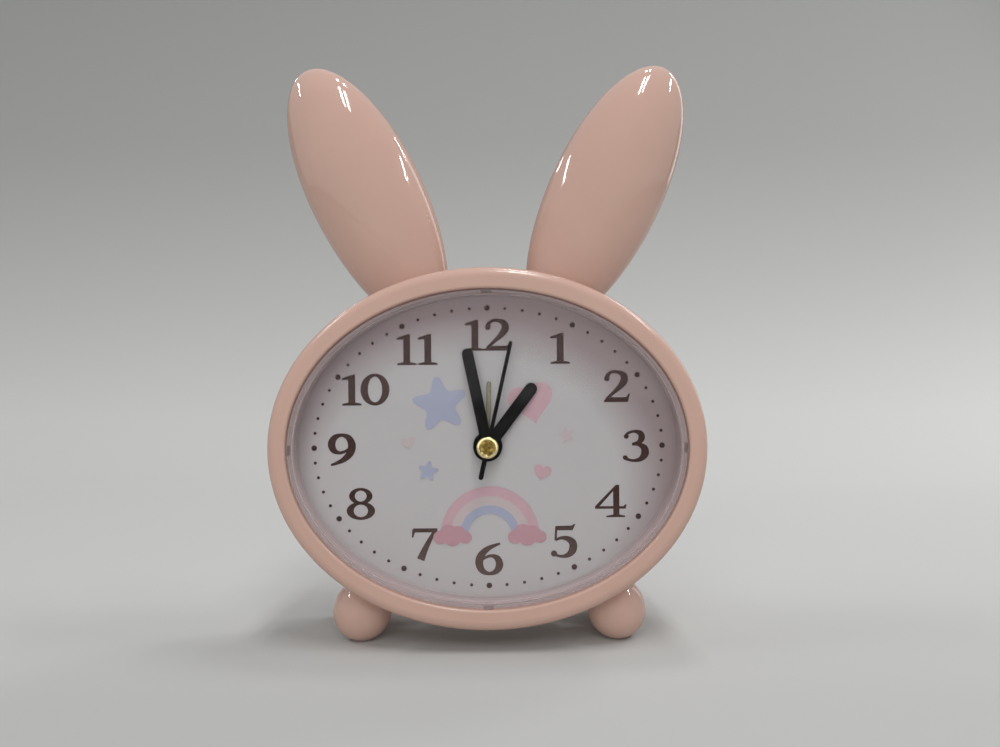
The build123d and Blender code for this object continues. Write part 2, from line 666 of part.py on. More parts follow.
with BuildPart() as small_screws:
    # into the dial frame, into the movement's corners, and into the board's posts
    for seat, places in ((LUG_REAR, LUG_PLACES), (COVER_REAR, CORNER_PLACES)):
        disc(seat, seat + SMALL_SCREW_HEAD, SMALL_SCREW_HEAD_RADIUS, places)
        disc(seat - SMALL_SCREW_LENGTH, seat, SMALL_SCREW_RADIUS, places)
    disc(BOARD_FRONT - SMALL_SCREW_HEAD, BOARD_FRONT, SMALL_SCREW_HEAD_RADIUS, BOARD_SCREWS)
    disc(BOARD_FRONT, BOARD_FRONT + SMALL_SCREW_LENGTH, SMALL_SCREW_RADIUS, BOARD_SCREWS)
small_screws.part.label = "small_screws"
export_step(small_screws.part, "parts/small_screws.step")

# ---- Gear train: teeth, centres, modules and start angles ---------------------------------------
ROTOR_TEETH = 8
PINION_TEETH = 8
INTERMEDIATE_TEETH = 40
SECOND_TEETH = 48
THIRD_TEETH = 60
CENTER_TEETH = 64
CANNON_TEETH = 10
MINUTE_TEETH = 30
MINUTE_PINION_TEETH = 10
HOUR_TEETH = 40
ALARM_TEETH = 40
ALARM_SET_TEETH = 30

HUB = (0.0, 0.0)
INTERMEDIATE = polar(SECOND_TO_INTERMEDIATE, INTERMEDIATE_ANGLE)
ROTOR = (INTERMEDIATE[0] + INTERMEDIATE_TO_ROTOR, INTERMEDIATE[1])
THIRD = polar(THIRD_DISTANCE, THIRD_ANGLE)
TIME_SET = (-KNOB_X, KNOB_Z)
ALARM_SET = (KNOB_X, KNOB_Z)
# the minute wheel stands as far from the hub as from the time-setting shaft
SET_DISTANCE = hypot(KNOB_X, KNOB_Z)
HALF_ANGLE = degrees(atan2(sqrt(MINUTE_DISTANCE**2 - (SET_DISTANCE / 2) ** 2), SET_DISTANCE / 2))
MINUTE = polar(MINUTE_DISTANCE, direction_to(HUB, TIME_SET) - HALF_ANGLE)

ROTOR_MODULE = module_for(INTERMEDIATE_TO_ROTOR, ROTOR_TEETH, INTERMEDIATE_TEETH)
SECOND_MODULE = module_for(SECOND_TO_INTERMEDIATE, PINION_TEETH, SECOND_TEETH)
THIRD_MODULE = module_for(THIRD_DISTANCE, PINION_TEETH, THIRD_TEETH)
CENTER_MODULE = module_for(THIRD_DISTANCE, PINION_TEETH, CENTER_TEETH)
MINUTE_MODULE = module_for(MINUTE_DISTANCE, CANNON_TEETH, MINUTE_TEETH)
HOUR_MODULE = module_for(MINUTE_DISTANCE, MINUTE_PINION_TEETH, HOUR_TEETH)
ALARM_MODULE = module_for(SET_DISTANCE, ALARM_TEETH, ALARM_SET_TEETH)

to_intermediate = direction_to(HUB, INTERMEDIATE)
to_third = direction_to(HUB, THIRD)
to_minute = direction_to(HUB, MINUTE)
intermediate_pinion_start = meshing_start(0, SECOND_TEETH, PINION_TEETH, to_intermediate)
rotor_start = meshing_start(0, INTERMEDIATE_TEETH, ROTOR_TEETH, 0)
third_start = meshing_start(0, PINION_TEETH, THIRD_TEETH, to_third)
center_start = meshing_start(0, PINION_TEETH, CENTER_TEETH, to_third + 180)
minute_start = meshing_start(0, CANNON_TEETH, MINUTE_TEETH, to_minute)
hour_start = meshing_start(0, MINUTE_PINION_TEETH, HOUR_TEETH, to_minute + 180)
time_set_start = meshing_start(minute_start, MINUTE_TEETH, CANNON_TEETH, direction_to(MINUTE, TIME_SET))
alarm_set_start = meshing_start(0, ALARM_TEETH, ALARM_SET_TEETH, direction_to(HUB, ALARM_SET))

# ---- Movement shells ----------------------------------------------------------------------------
BOARD_POSTS = [(-22, -5), (-22, 19)]
STATOR_POSTS = [(15.3, 17), (20.5, -6.4)]
CONTACT_POST = (-17.0, -4.5)
PIVOT_PLACES = [THIRD, INTERMEDIATE, ROTOR]
STATOR_DEPTHS = (19.7, 20.7)
MOVEMENT_BOARD_DEPTHS = (19.5, 20.3)
CONTACT_DEPTHS = (15.3, 15.5)
MINUTE_POST_RADIUS = 0.6
MINUTE_SHOULDER = 0.9

with BuildPart() as movement_base:
    movement_place = [(0, MOVEMENT_Z)]
    inner_size = (MOVEMENT_SIZE[0] - 2 * MOVEMENT_WALL, MOVEMENT_SIZE[1] - 2 * MOVEMENT_WALL)
    block(MOVEMENT_FRONT, MOVEMENT_REAR, MOVEMENT_SIZE, movement_place, 3.0)
    block(MOVEMENT_FLOOR, MOVEMENT_REAR, inner_size, movement_place, 1.8, Mode.SUBTRACT)
    disc(COLLAR_FRONT, MOVEMENT_FLOOR, COLLAR_RADII[0])
    disc(MOVEMENT_FLOOR, MOVEMENT_REAR, 2.2, CORNER_PLACES)
    # lugs on the dial frame's bosses
    lug_blocks = [(side * 30.25, z) for side in (-1, 1) for z in (-6, 22)]
    block(LUG_FRONT, LUG_REAR, (5.5, 4.4), lug_blocks)
    # posts for the minute wheel, the board, the stator and the alarm contact
    disc(MOVEMENT_FLOOR, MINUTE_LAYER[1] + 0.5, MINUTE_POST_RADIUS, [MINUTE])
    disc(MOVEMENT_FLOOR, HOUR_LAYER[0] - 0.1, MINUTE_SHOULDER, [MINUTE])
    disc(MOVEMENT_FLOOR, MOVEMENT_BOARD_DEPTHS[0], 1.6, BOARD_POSTS)
    disc(MOVEMENT_FLOOR, STATOR_DEPTHS[0], 1.4, STATOR_POSTS)
    disc(MOVEMENT_FLOOR, CONTACT_DEPTHS[0], 1.2, [CONTACT_POST])
    # bores
    disc(COLLAR_FRONT, MOVEMENT_FLOOR, COLLAR_RADII[1], mode=Mode.SUBTRACT)
    disc(PIVOT_FRONT - 0.1, MOVEMENT_FLOOR, PIVOT_HOLE, PIVOT_PLACES, Mode.SUBTRACT)
    set_pivots = [TIME_SET, ALARM_SET]
    disc(PIVOT_FRONT - 0.1, MOVEMENT_FLOOR, SECOND_ARBOR + 0.06, set_pivots, Mode.SUBTRACT)
    disc(MOVEMENT_REAR - 4, MOVEMENT_REAR, PILOT_RADIUS, CORNER_PLACES, Mode.SUBTRACT)
    disc(LUG_FRONT, LUG_REAR, SMALL_SCREW_RADIUS + GAP, LUG_PLACES, Mode.SUBTRACT)
movement_base.part.label = "movement_base"
export_step(movement_base.part, "parts/movement_base.step")

with BuildPart() as movement_cover:
    block(MOVEMENT_REAR, COVER_REAR, MOVEMENT_SIZE, movement_place, 3.0)
    disc(MOVEMENT_REAR, PIVOT_REAR + 0.1, PIVOT_HOLE, [HUB, *PIVOT_PLACES], Mode.SUBTRACT)
    disc(MOVEMENT_REAR, COVER_REAR, SHAFT_RADIUS + 0.08, set_pivots, Mode.SUBTRACT)
    disc(MOVEMENT_REAR, COVER_REAR, SMALL_SCREW_RADIUS + GAP, CORNER_PLACES, Mode.SUBTRACT)
movement_cover.part.label = "movement_cover"
export_step(movement_cover.part, "parts/movement_cover.step")

# ---- Stepping motor -----------------------------------------------------------------------------
MAGNET_RADIUS = 1.5
MAGNET_DEPTHS = (19.3, 21.1)
CORE_X = 23.0
CORE_WIDTH = 3.0
COIL_BOTTOM = -2.6
COIL_TOP = 13.0
FLANGE = 0.8

with BuildPart() as rotor_pinion:
    toothed(ROTOR_LAYER, ROTOR_MODULE, ROTOR_TEETH, rotor_start, ROTOR)
    arbor(MOVEMENT_FLOOR, MOVEMENT_REAR, ROTOR)
rotor_pinion.part.label = "rotor_pinion"
export_step(rotor_pinion.part, "parts/rotor_pinion.step")

with BuildPart() as rotor_magnet:
    disc(*MAGNET_DEPTHS, MAGNET_RADIUS, [ROTOR])
    disc(*MAGNET_DEPTHS, ARBOR_RADIUS + SLIP, [ROTOR], Mode.SUBTRACT)
rotor_magnet.part.label = "rotor_magnet"
export_step(rotor_magnet.part, "parts/rotor_magnet.step")

with BuildPart() as stator:
    block(*STATOR_DEPTHS, (7.0, 8.0), [ROTOR])
    block(*STATOR_DEPTHS, (8.5, 4.0), [(20.25, -6.37)])
    block(*STATOR_DEPTHS, (CORE_WIDTH, 27.4), [(CORE_X, 5.33)])
    block(*STATOR_DEPTHS, (11.0, 4.0), [(19.0, 17.03)])
    block(*STATOR_DEPTHS, (3.6, 19.4), [(15.3, 9.33)])
    disc(*STATOR_DEPTHS, MAGNET_RADIUS + 0.6, [ROTOR], Mode.SUBTRACT)
    # the two saddle slots beside the rotor
    slots = [(ROTOR[0], ROTOR[1] + 3.1), (ROTOR[0], ROTOR[1] - 3.1)]
    block(*STATOR_DEPTHS, (0.5, 1.0), slots, mode=Mode.SUBTRACT)
stator.part.label = "stator"
export_step(stator.part, "parts/stator.step")


def coil_layer(bottom, top, size, mode=Mode.ADD):
    """A rectangular block round the stator's core, between two heights."""
    middle = (STATOR_DEPTHS[0] + STATOR_DEPTHS[1]) / 2
    with BuildSketch(Plane(origin=inside_point(CORE_X, middle, bottom))) as outline:
        Rectangle(*size)
    extrude(outline.sketch, amount=top - bottom, mode=mode)


BOBBIN_TUBE = (4.2, 2.2)
BOBBIN_BORE = (CORE_WIDTH + 0.1, 1.1)

with BuildPart() as coil_bobbin:
    coil_layer(COIL_BOTTOM - FLANGE, COIL_TOP + FLANGE, BOBBIN_TUBE)
    coil_layer(COIL_BOTTOM - FLANGE, COIL_BOTTOM, (6.4, 6.0))
    coil_layer(COIL_TOP, COIL_TOP + FLANGE, (6.4, 6.0))
    coil_layer(COIL_BOTTOM - FLANGE, COIL_TOP + FLANGE, BOBBIN_BORE, Mode.SUBTRACT)
coil_bobbin.part.label = "coil_bobbin"
export_step(coil_bobbin.part, "parts/coil_bobbin.step")

with BuildPart() as coil_winding:
    coil_layer(COIL_BOTTOM, COIL_TOP, (6.0, 5.4))
    fillet(coil_winding.edges().filter_by(Axis.Z), 1.0)
    coil_layer(COIL_BOTTOM, COIL_TOP, BOBBIN_TUBE, Mode.SUBTRACT)
coil_winding.part.label = "coil_winding"
export_step(coil_winding.part, "parts/coil_winding.step")

# ---- Wheels of the going train ------------------------------------------------------------------
with BuildPart() as intermediate_wheel:
    toothed(ROTOR_LAYER, ROTOR_MODULE, INTERMEDIATE_TEETH, 0, INTERMEDIATE)
    toothed(SECOND_LAYER, SECOND_MODULE, PINION_TEETH, intermediate_pinion_start, INTERMEDIATE)
    arbor(MOVEMENT_FLOOR, MOVEMENT_REAR, INTERMEDIATE)
intermediate_wheel.part.label = "intermediate_wheel"
export_step(intermediate_wheel.part, "parts/intermediate_wheel.step")

with BuildPart() as second_wheel:
    toothed(SECOND_LAYER, SECOND_MODULE, SECOND_TEETH, 0)
    toothed(THIRD_LAYER, THIRD_MODULE, PINION_TEETH, 0)
    disc(SECOND_HAND_DEPTHS[0], MOVEMENT_REAR, SECOND_ARBOR)
    disc(MOVEMENT_REAR, PIVOT_REAR, PIVOT_RADIUS)
second_wheel.part.label = "second_wheel"
export_step(second_wheel.part, "parts/second_wheel.step")

with BuildPart() as third_wheel:
    toothed(THIRD_LAYER, THIRD_MODULE, THIRD_TEETH, third_start, THIRD)
    toothed(CENTER_LAYER, CENTER_MODULE, PINION_TEETH, 0, THIRD)
    arbor(MOVEMENT_FLOOR, MOVEMENT_REAR, THIRD)
third_wheel.part.label = "third_wheel"
export_step(third_wheel.part, "parts/third_wheel.step")

with BuildPart() as center_wheel:
    toothed(CENTER_LAYER, CENTER_MODULE, CENTER_TEETH, center_start)
    disc(CENTER_LAYER[0], CENTER_LAYER[1], CANNON_TUBE[0] + 0.05, mode=Mode.SUBTRACT)
center_wheel.part.label = "center_wheel"
export_step(center_wheel.part, "parts/center_wheel.step")

with BuildPart() as cannon_pinion:
    toothed(MINUTE_LAYER, MINUTE_MODULE, CANNON_TEETH, 0)
    disc(CANNON_TUBE[2], CENTER_LAYER[1] + 0.4, CANNON_TUBE[0])
    disc(CANNON_TUBE[2], CENTER_LAYER[1] + 0.4, CANNON_TUBE[1], mode=Mode.SUBTRACT)
cannon_pinion.part.label = "cannon_pinion"
export_step(cannon_pinion.part, "parts/cannon_pinion.step")

with BuildPart() as minute_wheel:
    toothed(MINUTE_LAYER, MINUTE_MODULE, MINUTE_TEETH, minute_start, MINUTE)
    toothed(HOUR_LAYER, HOUR_MODULE, MINUTE_PINION_TEETH, 0, MINUTE)
    disc(HOUR_LAYER[1], MINUTE_LAYER[0], 1.4, [MINUTE])
    disc(HOUR_LAYER[0], MINUTE_LAYER[1], MINUTE_POST_RADIUS + 0.06, [MINUTE], Mode.SUBTRACT)
minute_wheel.part.label = "minute_wheel"
export_step(minute_wheel.part, "parts/minute_wheel.step")

with BuildPart() as hour_wheel:
    toothed(HOUR_LAYER, HOUR_MODULE, HOUR_TEETH, hour_start)
    disc(HOUR_TUBE[2], HOUR_LAYER[0], HOUR_TUBE[0])
    disc(HOUR_TUBE[2], HOUR_LAYER[1], HOUR_TUBE[1], mode=Mode.SUBTRACT)
hour_wheel.part.label = "hour_wheel"
export_step(hour_wheel.part, "parts/hour_wheel.step")

with BuildPart() as alarm_wheel:
    toothed(ALARM_LAYER, ALARM_MODULE, ALARM_TEETH, 0)
    disc(ALARM_TUBE[2], ALARM_LAYER[0], ALARM_TUBE[0])
    disc(ALARM_TUBE[2], ALARM_LAYER[1], ALARM_TUBE[1], mode=Mode.SUBTRACT)
alarm_wheel.part.label = "alarm_wheel"
export_step(alarm_wheel.part, "parts/alarm_wheel.step")

# ---- Setting shafts and knobs -------------------------------------------------------------------
SHAFT_REAR = 42.0

with BuildPart() as time_set_arbor:
    toothed(MINUTE_LAYER, MINUTE_MODULE, CANNON_TEETH, time_set_start, TIME_SET)
    disc(PIVOT_FRONT, MINUTE_LAYER[0], SECOND_ARBOR, [TIME_SET])
    disc(MINUTE_LAYER[1], SHAFT_REAR, SHAFT_RADIUS, [TIME_SET])
time_set_arbor.part.label = "time_set_arbor"
export_step(time_set_arbor.part, "parts/time_set_arbor.step")

with BuildPart() as alarm_set_arbor:
    toothed(ALARM_LAYER, ALARM_MODULE, ALARM_SET_TEETH, alarm_set_start, ALARM_SET)
    disc(PIVOT_FRONT, ALARM_LAYER[0], SECOND_ARBOR, [ALARM_SET])
    disc(ALARM_LAYER[1], SHAFT_REAR, SHAFT_RADIUS, [ALARM_SET])
alarm_set_arbor.part.label = "alarm_set_arbor"
export_step(alarm_set_arbor.part, "parts/alarm_set_arbor.step")

for knob_name, place in {"time_set_knob": TIME_SET, "alarm_set_knob": ALARM_SET}.items():
    with BuildPart() as knob:
        disc(KNOB_FRONT, TOTAL_DEPTH, KNOB_RADIUS, [place])
        fillet(knob.faces().sort_by(Axis.Y)[-1].edges(), 0.8)
        # finger dish in the end, and flutes round the grip
        disc(TOTAL_DEPTH - 0.7, TOTAL_DEPTH, KNOB_RADIUS - 2.2, [place], Mode.SUBTRACT)
        with BuildSketch(face_at(TOTAL_DEPTH)):
            with Locations(place):
                with PolarLocations(KNOB_RADIUS + 0.25, KNOB_FLUTES):
                    Circle(0.6)
        extrude(amount=TOTAL_DEPTH - KNOB_FRONT - 1.0, mode=Mode.SUBTRACT)
        disc(REAR_SKIN - 0.4, KNOB_FRONT, SLEEVE_RADIUS, [place])
        disc(REAR_SKIN - 0.4, SHAFT_REAR, SHAFT_RADIUS + 0.01, [place], Mode.SUBTRACT)
    knob.part.label = knob_name
    export_step(knob.part, f"parts/{knob_name}.step")

# ---- Night-light button and alarm slider --------------------------------------------------------
BUTTON_FLANGE_FRONT = 34.9
BUTTON_REAR = 39.8
STEM_DEPTH = 34.0
SLIDER_FLANGE_FRONT = 35.0
SLIDER_REAR = 39.4

with BuildPart() as light_button:
    disc(BUTTON_FLANGE_FRONT, BUTTON_REAR, BUTTON_RADIUS, button_place)
    fillet(light_button.faces().sort_by(Axis.Y)[-1].edges(), 0.8)
    disc(BUTTON_FLANGE_FRONT, REAR_SKIN - 0.1, BUTTON_RADIUS + 0.9, button_place)
    disc(STEM_DEPTH, BUTTON_FLANGE_FRONT, 1.35, button_place)
light_button.part.label = "light_button"
export_step(light_button.part, "parts/light_button.step")

with BuildPart() as alarm_switch:
    rest_place = [(CONTROL_X - SLIDER_TRAVEL / 2, KNOB_Z)]
    block(SLIDER_FLANGE_FRONT, SLIDER_REAR, SLIDER_NIB, rest_place)
    fillet(alarm_switch.faces().sort_by(Axis.Y)[-1].edges(), 0.4)
    block(SLIDER_FLANGE_FRONT, REAR_SKIN - 0.1, SLIDER_FLANGE, rest_place)
    block(33.6, SLIDER_FLANGE_FRONT, (2.0, 1.2), rest_place)
    # grip grooves across the nib
    grip_x = rest_place[0][0]
    grips = [(grip_x - 1, KNOB_Z), (grip_x, KNOB_Z), (grip_x + 1, KNOB_Z)]
    block(SLIDER_REAR - 0.3, SLIDER_REAR, (0.4, SLIDER_NIB[1]), grips, mode=Mode.SUBTRACT)
alarm_switch.part.label = "alarm_switch"
export_step(alarm_switch.part, "parts/alarm_switch.step")

# ---- Electronics --------------------------------------------------------------------------------
with BuildPart() as circuit_board:
    block(BOARD_FRONT, BOARD_REAR, BOARD_SIZE, [(0, BOARD_Z)], 1.0)
    disc(BOARD_FRONT, BOARD_REAR, SHAFT_RADIUS + 1, knob_places, Mode.SUBTRACT)
    disc(BOARD_FRONT, BOARD_REAR, SMALL_SCREW_RADIUS + GAP, BOARD_SCREWS, Mode.SUBTRACT)
circuit_board.part.label = "circuit_board"
export_step(circuit_board.part, "parts/circuit_board.step")

with BuildPart() as buzzer:
    disc(BOARD_REAR, BOARD_REAR + 3.2, BUZZER_RADIUS, [(0, GRILLE_Z)])
    disc(BOARD_REAR + 2.2, BOARD_REAR + 3.2, 1.2, [(0, GRILLE_Z)], Mode.SUBTRACT)
buzzer.part.label = "buzzer"
export_step(buzzer.part, "parts/buzzer.step")

with BuildPart() as light_switch_body:
    block(BOARD_REAR, 33.8, (6.0, 6.0), button_place, 0.4)
    disc(33.0, 33.8, 1.5, button_place, Mode.SUBTRACT)
light_switch_body.part.label = "light_switch_body"
export_step(light_switch_body.part, "parts/light_switch_body.step")

with BuildPart() as alarm_switch_body:
    block(BOARD_REAR, 34.6, (9.0, 4.4), [(CONTROL_X, KNOB_Z)])
    groove = (2.0 + SLIDER_TRAVEL + 2 * GAP, 1.2 + 2 * GAP)
    block(33.4, 34.6, groove, [(CONTROL_X, KNOB_Z)], mode=Mode.SUBTRACT)
alarm_switch_body.part.label = "alarm_switch_body"
export_step(alarm_switch_body.part, "parts/alarm_switch_body.step")

with BuildPart() as movement_board:
    block(*MOVEMENT_BOARD_DEPTHS, (8.7, 30.0), [(-21.95, MOVEMENT_Z)])
movement_board.part.label = "movement_board"
export_step(movement_board.part, "parts/movement_board.step")

with BuildPart() as timing_chip:
    disc(MOVEMENT_BOARD_DEPTHS[1], MOVEMENT_BOARD_DEPTHS[1] + 0.9, 3.0, [(-22, 11)])
    fillet(timing_chip.faces().sort_by(Axis.Y)[-1].edges(), 0.7)
timing_chip.part.label = "timing_chip"
export_step(timing_chip.part, "parts/timing_chip.step")

with BuildPart() as quartz_crystal:
    crystal_radius = 1.0
    with BuildSketch(Plane(origin=inside_point(-22, MOVEMENT_BOARD_DEPTHS[1] + crystal_radius, -5))):
        Circle(crystal_radius)
    extrude(amount=6.0)
quartz_crystal.part.label = "quartz_crystal"
export_step(quartz_crystal.part, "parts/quartz_crystal.step")

with BuildPart() as alarm_contact:
    block(*CONTACT_DEPTHS, (14.0, 2.0), [(CONTACT_POST[0] + 6.0, CONTACT_POST[1])])
alarm_contact.part.label = "alarm_contact"
export_step(alarm_contact.part, "parts/alarm_contact.step")

# ---- Battery and its contacts -------------------------------------------------------------------
CONTACT_HALF_HEIGHT = 5.0
plate_x = BOX_INNER[0] / 2 - PLATE
cell_end = plate_x - BATTERY_NUB

with BuildPart() as aa_battery:
    with BuildSketch(Plane.YZ.offset(cell_end)):
        with Locations((FRONT_Y + BATTERY_DEPTH, HUB_Z + BATTERY_Z)):
            Circle(BATTERY_RADIUS)
    extrude(amount=-BATTERY_LENGTH)
    fillet(aa_battery.edges().filter_by(GeomType.CIRCLE), 0.6)
    with BuildSketch(Plane.YZ.offset(cell_end)):
        with Locations((FRONT_Y + BATTERY_DEPTH, HUB_Z + BATTERY_Z)):
            Circle(BATTERY_NUB_RADIUS)
    extrude(amount=BATTERY_NUB)
aa_battery.part.label = "aa_battery"
export_step(aa_battery.part, "parts/aa_battery.step")

with BuildPart() as battery_positive_contact:
    block(BOX_FLOOR, BATTERY_DEPTH + 4, (PLATE, 10.0), [(CONTACT_X, BATTERY_Z)])
    block(TAB_FRONT, BOX_FLOOR, (PLATE, TAB_HEIGHT), [(CONTACT_X, TAB_Z)])
battery_positive_contact.part.label = "battery_positive_contact"
export_step(battery_positive_contact.part, "parts/battery_positive_contact.step")

spring_x = cell_end - BATTERY_LENGTH
with BuildPart() as battery_negative_contact:
    block(BOX_FLOOR, BATTERY_DEPTH + 4, (PLATE, 10.0), [(-CONTACT_X, BATTERY_Z)])
    block(TAB_FRONT, BOX_FLOOR, (PLATE, TAB_HEIGHT), [(-CONTACT_X, TAB_Z)])
    # a bowed leaf from the plate's rear edge that presses on the cell
    leaf_start = (-plate_x, BATTERY_DEPTH + 4)
    leaf_peak = (spring_x, BATTERY_DEPTH)
    leaf_end = (-plate_x + 0.6, BATTERY_DEPTH - 4)
    with BuildSketch(Plane.XY.offset(HUB_Z + BATTERY_Z - CONTACT_HALF_HEIGHT + 1)):
        with BuildLine():
            outer = [(x, FRONT_Y + depth) for x, depth in (leaf_start, leaf_peak, leaf_end)]
            inner = [(x - PLATE, y) for x, y in reversed(outer)]
            Polyline(*outer, *inner, close=True)
        make_face()
    extrude(amount=2 * CONTACT_HALF_HEIGHT - 2)
battery_negative_contact.part.label = "battery_negative_contact"
export_step(battery_negative_contact.part, "parts/battery_negative_contact.step")

# ---- Night light --------------------------------------------------------------------------------
board_bottom = LIGHT_POCKET_TOP - LIGHT_BOARD_THICKNESS
with BuildPart() as led_board:
    block(
        LIGHT_POCKET[1] + 0.2,
        LIGHT_POCKET[2] - 0.2,
        (LIGHT_POCKET[0] - 0.2, LIGHT_BOARD_THICKNESS),
        [(0, board_bottom + LIGHT_BOARD_THICKNESS / 2)],
    )
led_board.part.label = "led_board"
export_step(led_board.part, "parts/led_board.step")

with BuildPart() as led:
    block(3.6, 6.4, (3.5, 1.0), [(0, board_bottom - 0.5)])
led.part.label = "led"
export_step(led.part, "parts/led.step")

# ---- Wires --------------------------------------------------------------------------------------
with BuildPart() as light_wires:
    for x in (-1.0, 1.0):
        wire(
            [
                inside_point(x, LIGHT_POCKET[2] - 0.2, WIRE_Z),
                inside_point(x, 12.5, WIRE_Z),
                inside_point(x, 16.5, 42.0),
                inside_point(x, 23.0, 37.5),
                inside_point(x, 29.5, 34.0),
                inside_point(x, 31.6, 30.0),
                inside_point(x, 31.6, BOARD_Z + BOARD_SIZE[1] / 2),
            ]
        )
light_wires.part.label = "light_wires"
export_step(light_wires.part, "parts/light_wires.step")

with BuildPart() as battery_wires:
    for side in SIDES.values():
        tab_face = CONTACT_X + PLATE / 2
        wire(
            [
                inside_point(side * tab_face, TAB_FRONT + 0.6, TAB_Z),
                inside_point(side * 30.0, TAB_FRONT + 0.6, TAB_Z),
                inside_point(side * 30.0, TAB_FRONT + 1.4, -8.0),
                inside_point(side * 29.5, 31.6, -5.0),
                inside_point(side * 29.5, 31.6, BOARD_Z - BOARD_SIZE[1] / 2),
            ]
        )
battery_wires.part.label = "battery_wires"
export_step(battery_wires.part, "parts/battery_wires.step")

# ---- Hands and their cap ------------------------------------------------------------------------
with BuildPart() as alarm_hand:
    with BuildSketch(face_at(ALARM_TUBE[2] + HAND_THICKNESS)):
        hand_bar(*ALARM_HAND)
        Circle(ALARM_HUB)
        Circle(ALARM_TUBE[0] + 0.01, mode=Mode.SUBTRACT)
    extrude(amount=HAND_THICKNESS)
alarm_hand.part.label = "alarm_hand"
export_step(alarm_hand.part, "parts/alarm_hand.step")

with BuildPart() as hour_hand:
    with BuildSketch(face_at(HOUR_TUBE[2] + HAND_THICKNESS)):
        hand_bar(*HOUR_HAND)
        Circle(HAND_HUB)
        Circle(HOUR_TUBE[0] + 0.01, mode=Mode.SUBTRACT)
    extrude(amount=HAND_THICKNESS)
hour_hand.part.label = "hour_hand"
export_step(hour_hand.part, "parts/hour_hand.step")

with BuildPart() as minute_hand:
    with BuildSketch(face_at(CANNON_TUBE[2] + HAND_THICKNESS)):
        hand_bar(*MINUTE_HAND)
        Circle(HAND_HUB)
        Circle(CANNON_TUBE[0] + 0.01, mode=Mode.SUBTRACT)
    extrude(amount=HAND_THICKNESS)
minute_hand.part.label = "minute_hand"
export_step(minute_hand.part, "parts/minute_hand.step")

with BuildPart() as second_hand:
    with BuildSketch(face_at(SECOND_HAND_DEPTHS[1])):
        hand_bar(*SECOND_HAND)
        hand_bar(0, SECOND_TAIL[1], SECOND_HAND[2], SECOND_TAIL[0])
        Circle(1.8)
        Circle(SECOND_ARBOR + 0.01, mode=Mode.SUBTRACT)
    extrude(amount=SECOND_HAND_DEPTHS[1] - SECOND_HAND_DEPTHS[0])
second_hand.part.label = "second_hand"
export_step(second_hand.part, "parts/second_hand.step")

with BuildPart() as hand_cap:
    disc(CAP_FRONT, SECOND_HAND_DEPTHS[0], CAP_RADIUS)
    fillet(hand_cap.faces().sort_by(Axis.Y)[0].edges(), 0.5)
    # a shallow dish inside the rim
    with BuildSketch(face_at(CAP_FRONT)):
        Circle(CAP_RADIUS - 0.75)
    extrude(amount=-0.25, taper=45, mode=Mode.SUBTRACT)
hand_cap.part.label = "hand_cap"
export_step(hand_cap.part, "parts/hand_cap.step")
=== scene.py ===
import json
import math
import bpy
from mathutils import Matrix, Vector


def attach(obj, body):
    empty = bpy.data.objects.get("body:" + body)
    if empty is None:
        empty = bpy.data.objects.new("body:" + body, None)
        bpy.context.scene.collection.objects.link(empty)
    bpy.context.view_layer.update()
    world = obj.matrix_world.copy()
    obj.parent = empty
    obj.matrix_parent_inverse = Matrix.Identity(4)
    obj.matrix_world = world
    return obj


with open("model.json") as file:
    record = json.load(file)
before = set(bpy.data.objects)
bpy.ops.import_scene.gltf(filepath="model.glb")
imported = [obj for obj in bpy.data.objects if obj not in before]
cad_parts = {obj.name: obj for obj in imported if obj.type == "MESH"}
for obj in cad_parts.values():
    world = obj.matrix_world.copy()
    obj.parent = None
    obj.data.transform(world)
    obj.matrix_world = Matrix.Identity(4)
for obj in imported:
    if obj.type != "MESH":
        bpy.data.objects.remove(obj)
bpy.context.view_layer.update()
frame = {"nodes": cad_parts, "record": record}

# Kids alarm clock with night light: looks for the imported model, in metres.
# +Z is up and the dial faces -Y. "Depth" runs rearwards from the bezel's front plane,
# and x, z of anything on the dial are in millimetres from the dial's centre.

NODES = frame["nodes"]
MM = 0.001
FRONT_Y = -22.0
HUB_Z = 56.15


def at(x, depth, z):
    """A point of the frame from its place on the dial and its depth, in millimetres."""
    return Vector((x * MM, (FRONT_Y + depth) * MM, (HUB_Z + z) * MM))


# ---- Camera -------------------------------------------------------------------------------------
# The view is level, a little over the dial's centre, 204 mm in front of the bezel.
CAMERA_PLACE = (3.65, -204.0, 20.6)
CAMERA_ROLL = 0.5

cam_data = bpy.data.cameras.new("camera")
cam_data.sensor_width = 36.0
cam_data.lens = 27.0
cam_data.clip_start = 0.005
cam_data.clip_end = 20.0
camera = bpy.data.objects.new("camera", cam_data)
bpy.context.scene.collection.objects.link(camera)
camera.location = at(*CAMERA_PLACE)
camera.rotation_euler = (math.radians(90.0), math.radians(CAMERA_ROLL), 0.0)
bpy.context.scene.camera = camera


# ---- Small helpers ------------------------------------------------------------------------------
def srgb(r, g, b):
    """Linear colour from 8-bit sRGB values."""
    def one(c):
        c /= 255.0
        return c / 12.92 if c <= 0.04045 else ((c + 0.055) / 1.055) ** 2.4
    return (one(r), one(g), one(b), 1.0)


def mesh_object(name, verts, faces, mat, smooth=False):
    """A mesh object made of plain vertices and faces."""
    mesh = bpy.data.meshes.new(name)
    mesh.from_pydata([tuple(v) for v in verts], [], faces)
    mesh.update()
    if smooth:
        mesh.polygons.foreach_set("use_smooth", [True] * len(mesh.polygons))
    obj = bpy.data.objects.new(name, mesh)
    bpy.context.scene.collection.objects.link(obj)
    obj.data.materials.append(mat)
    return obj


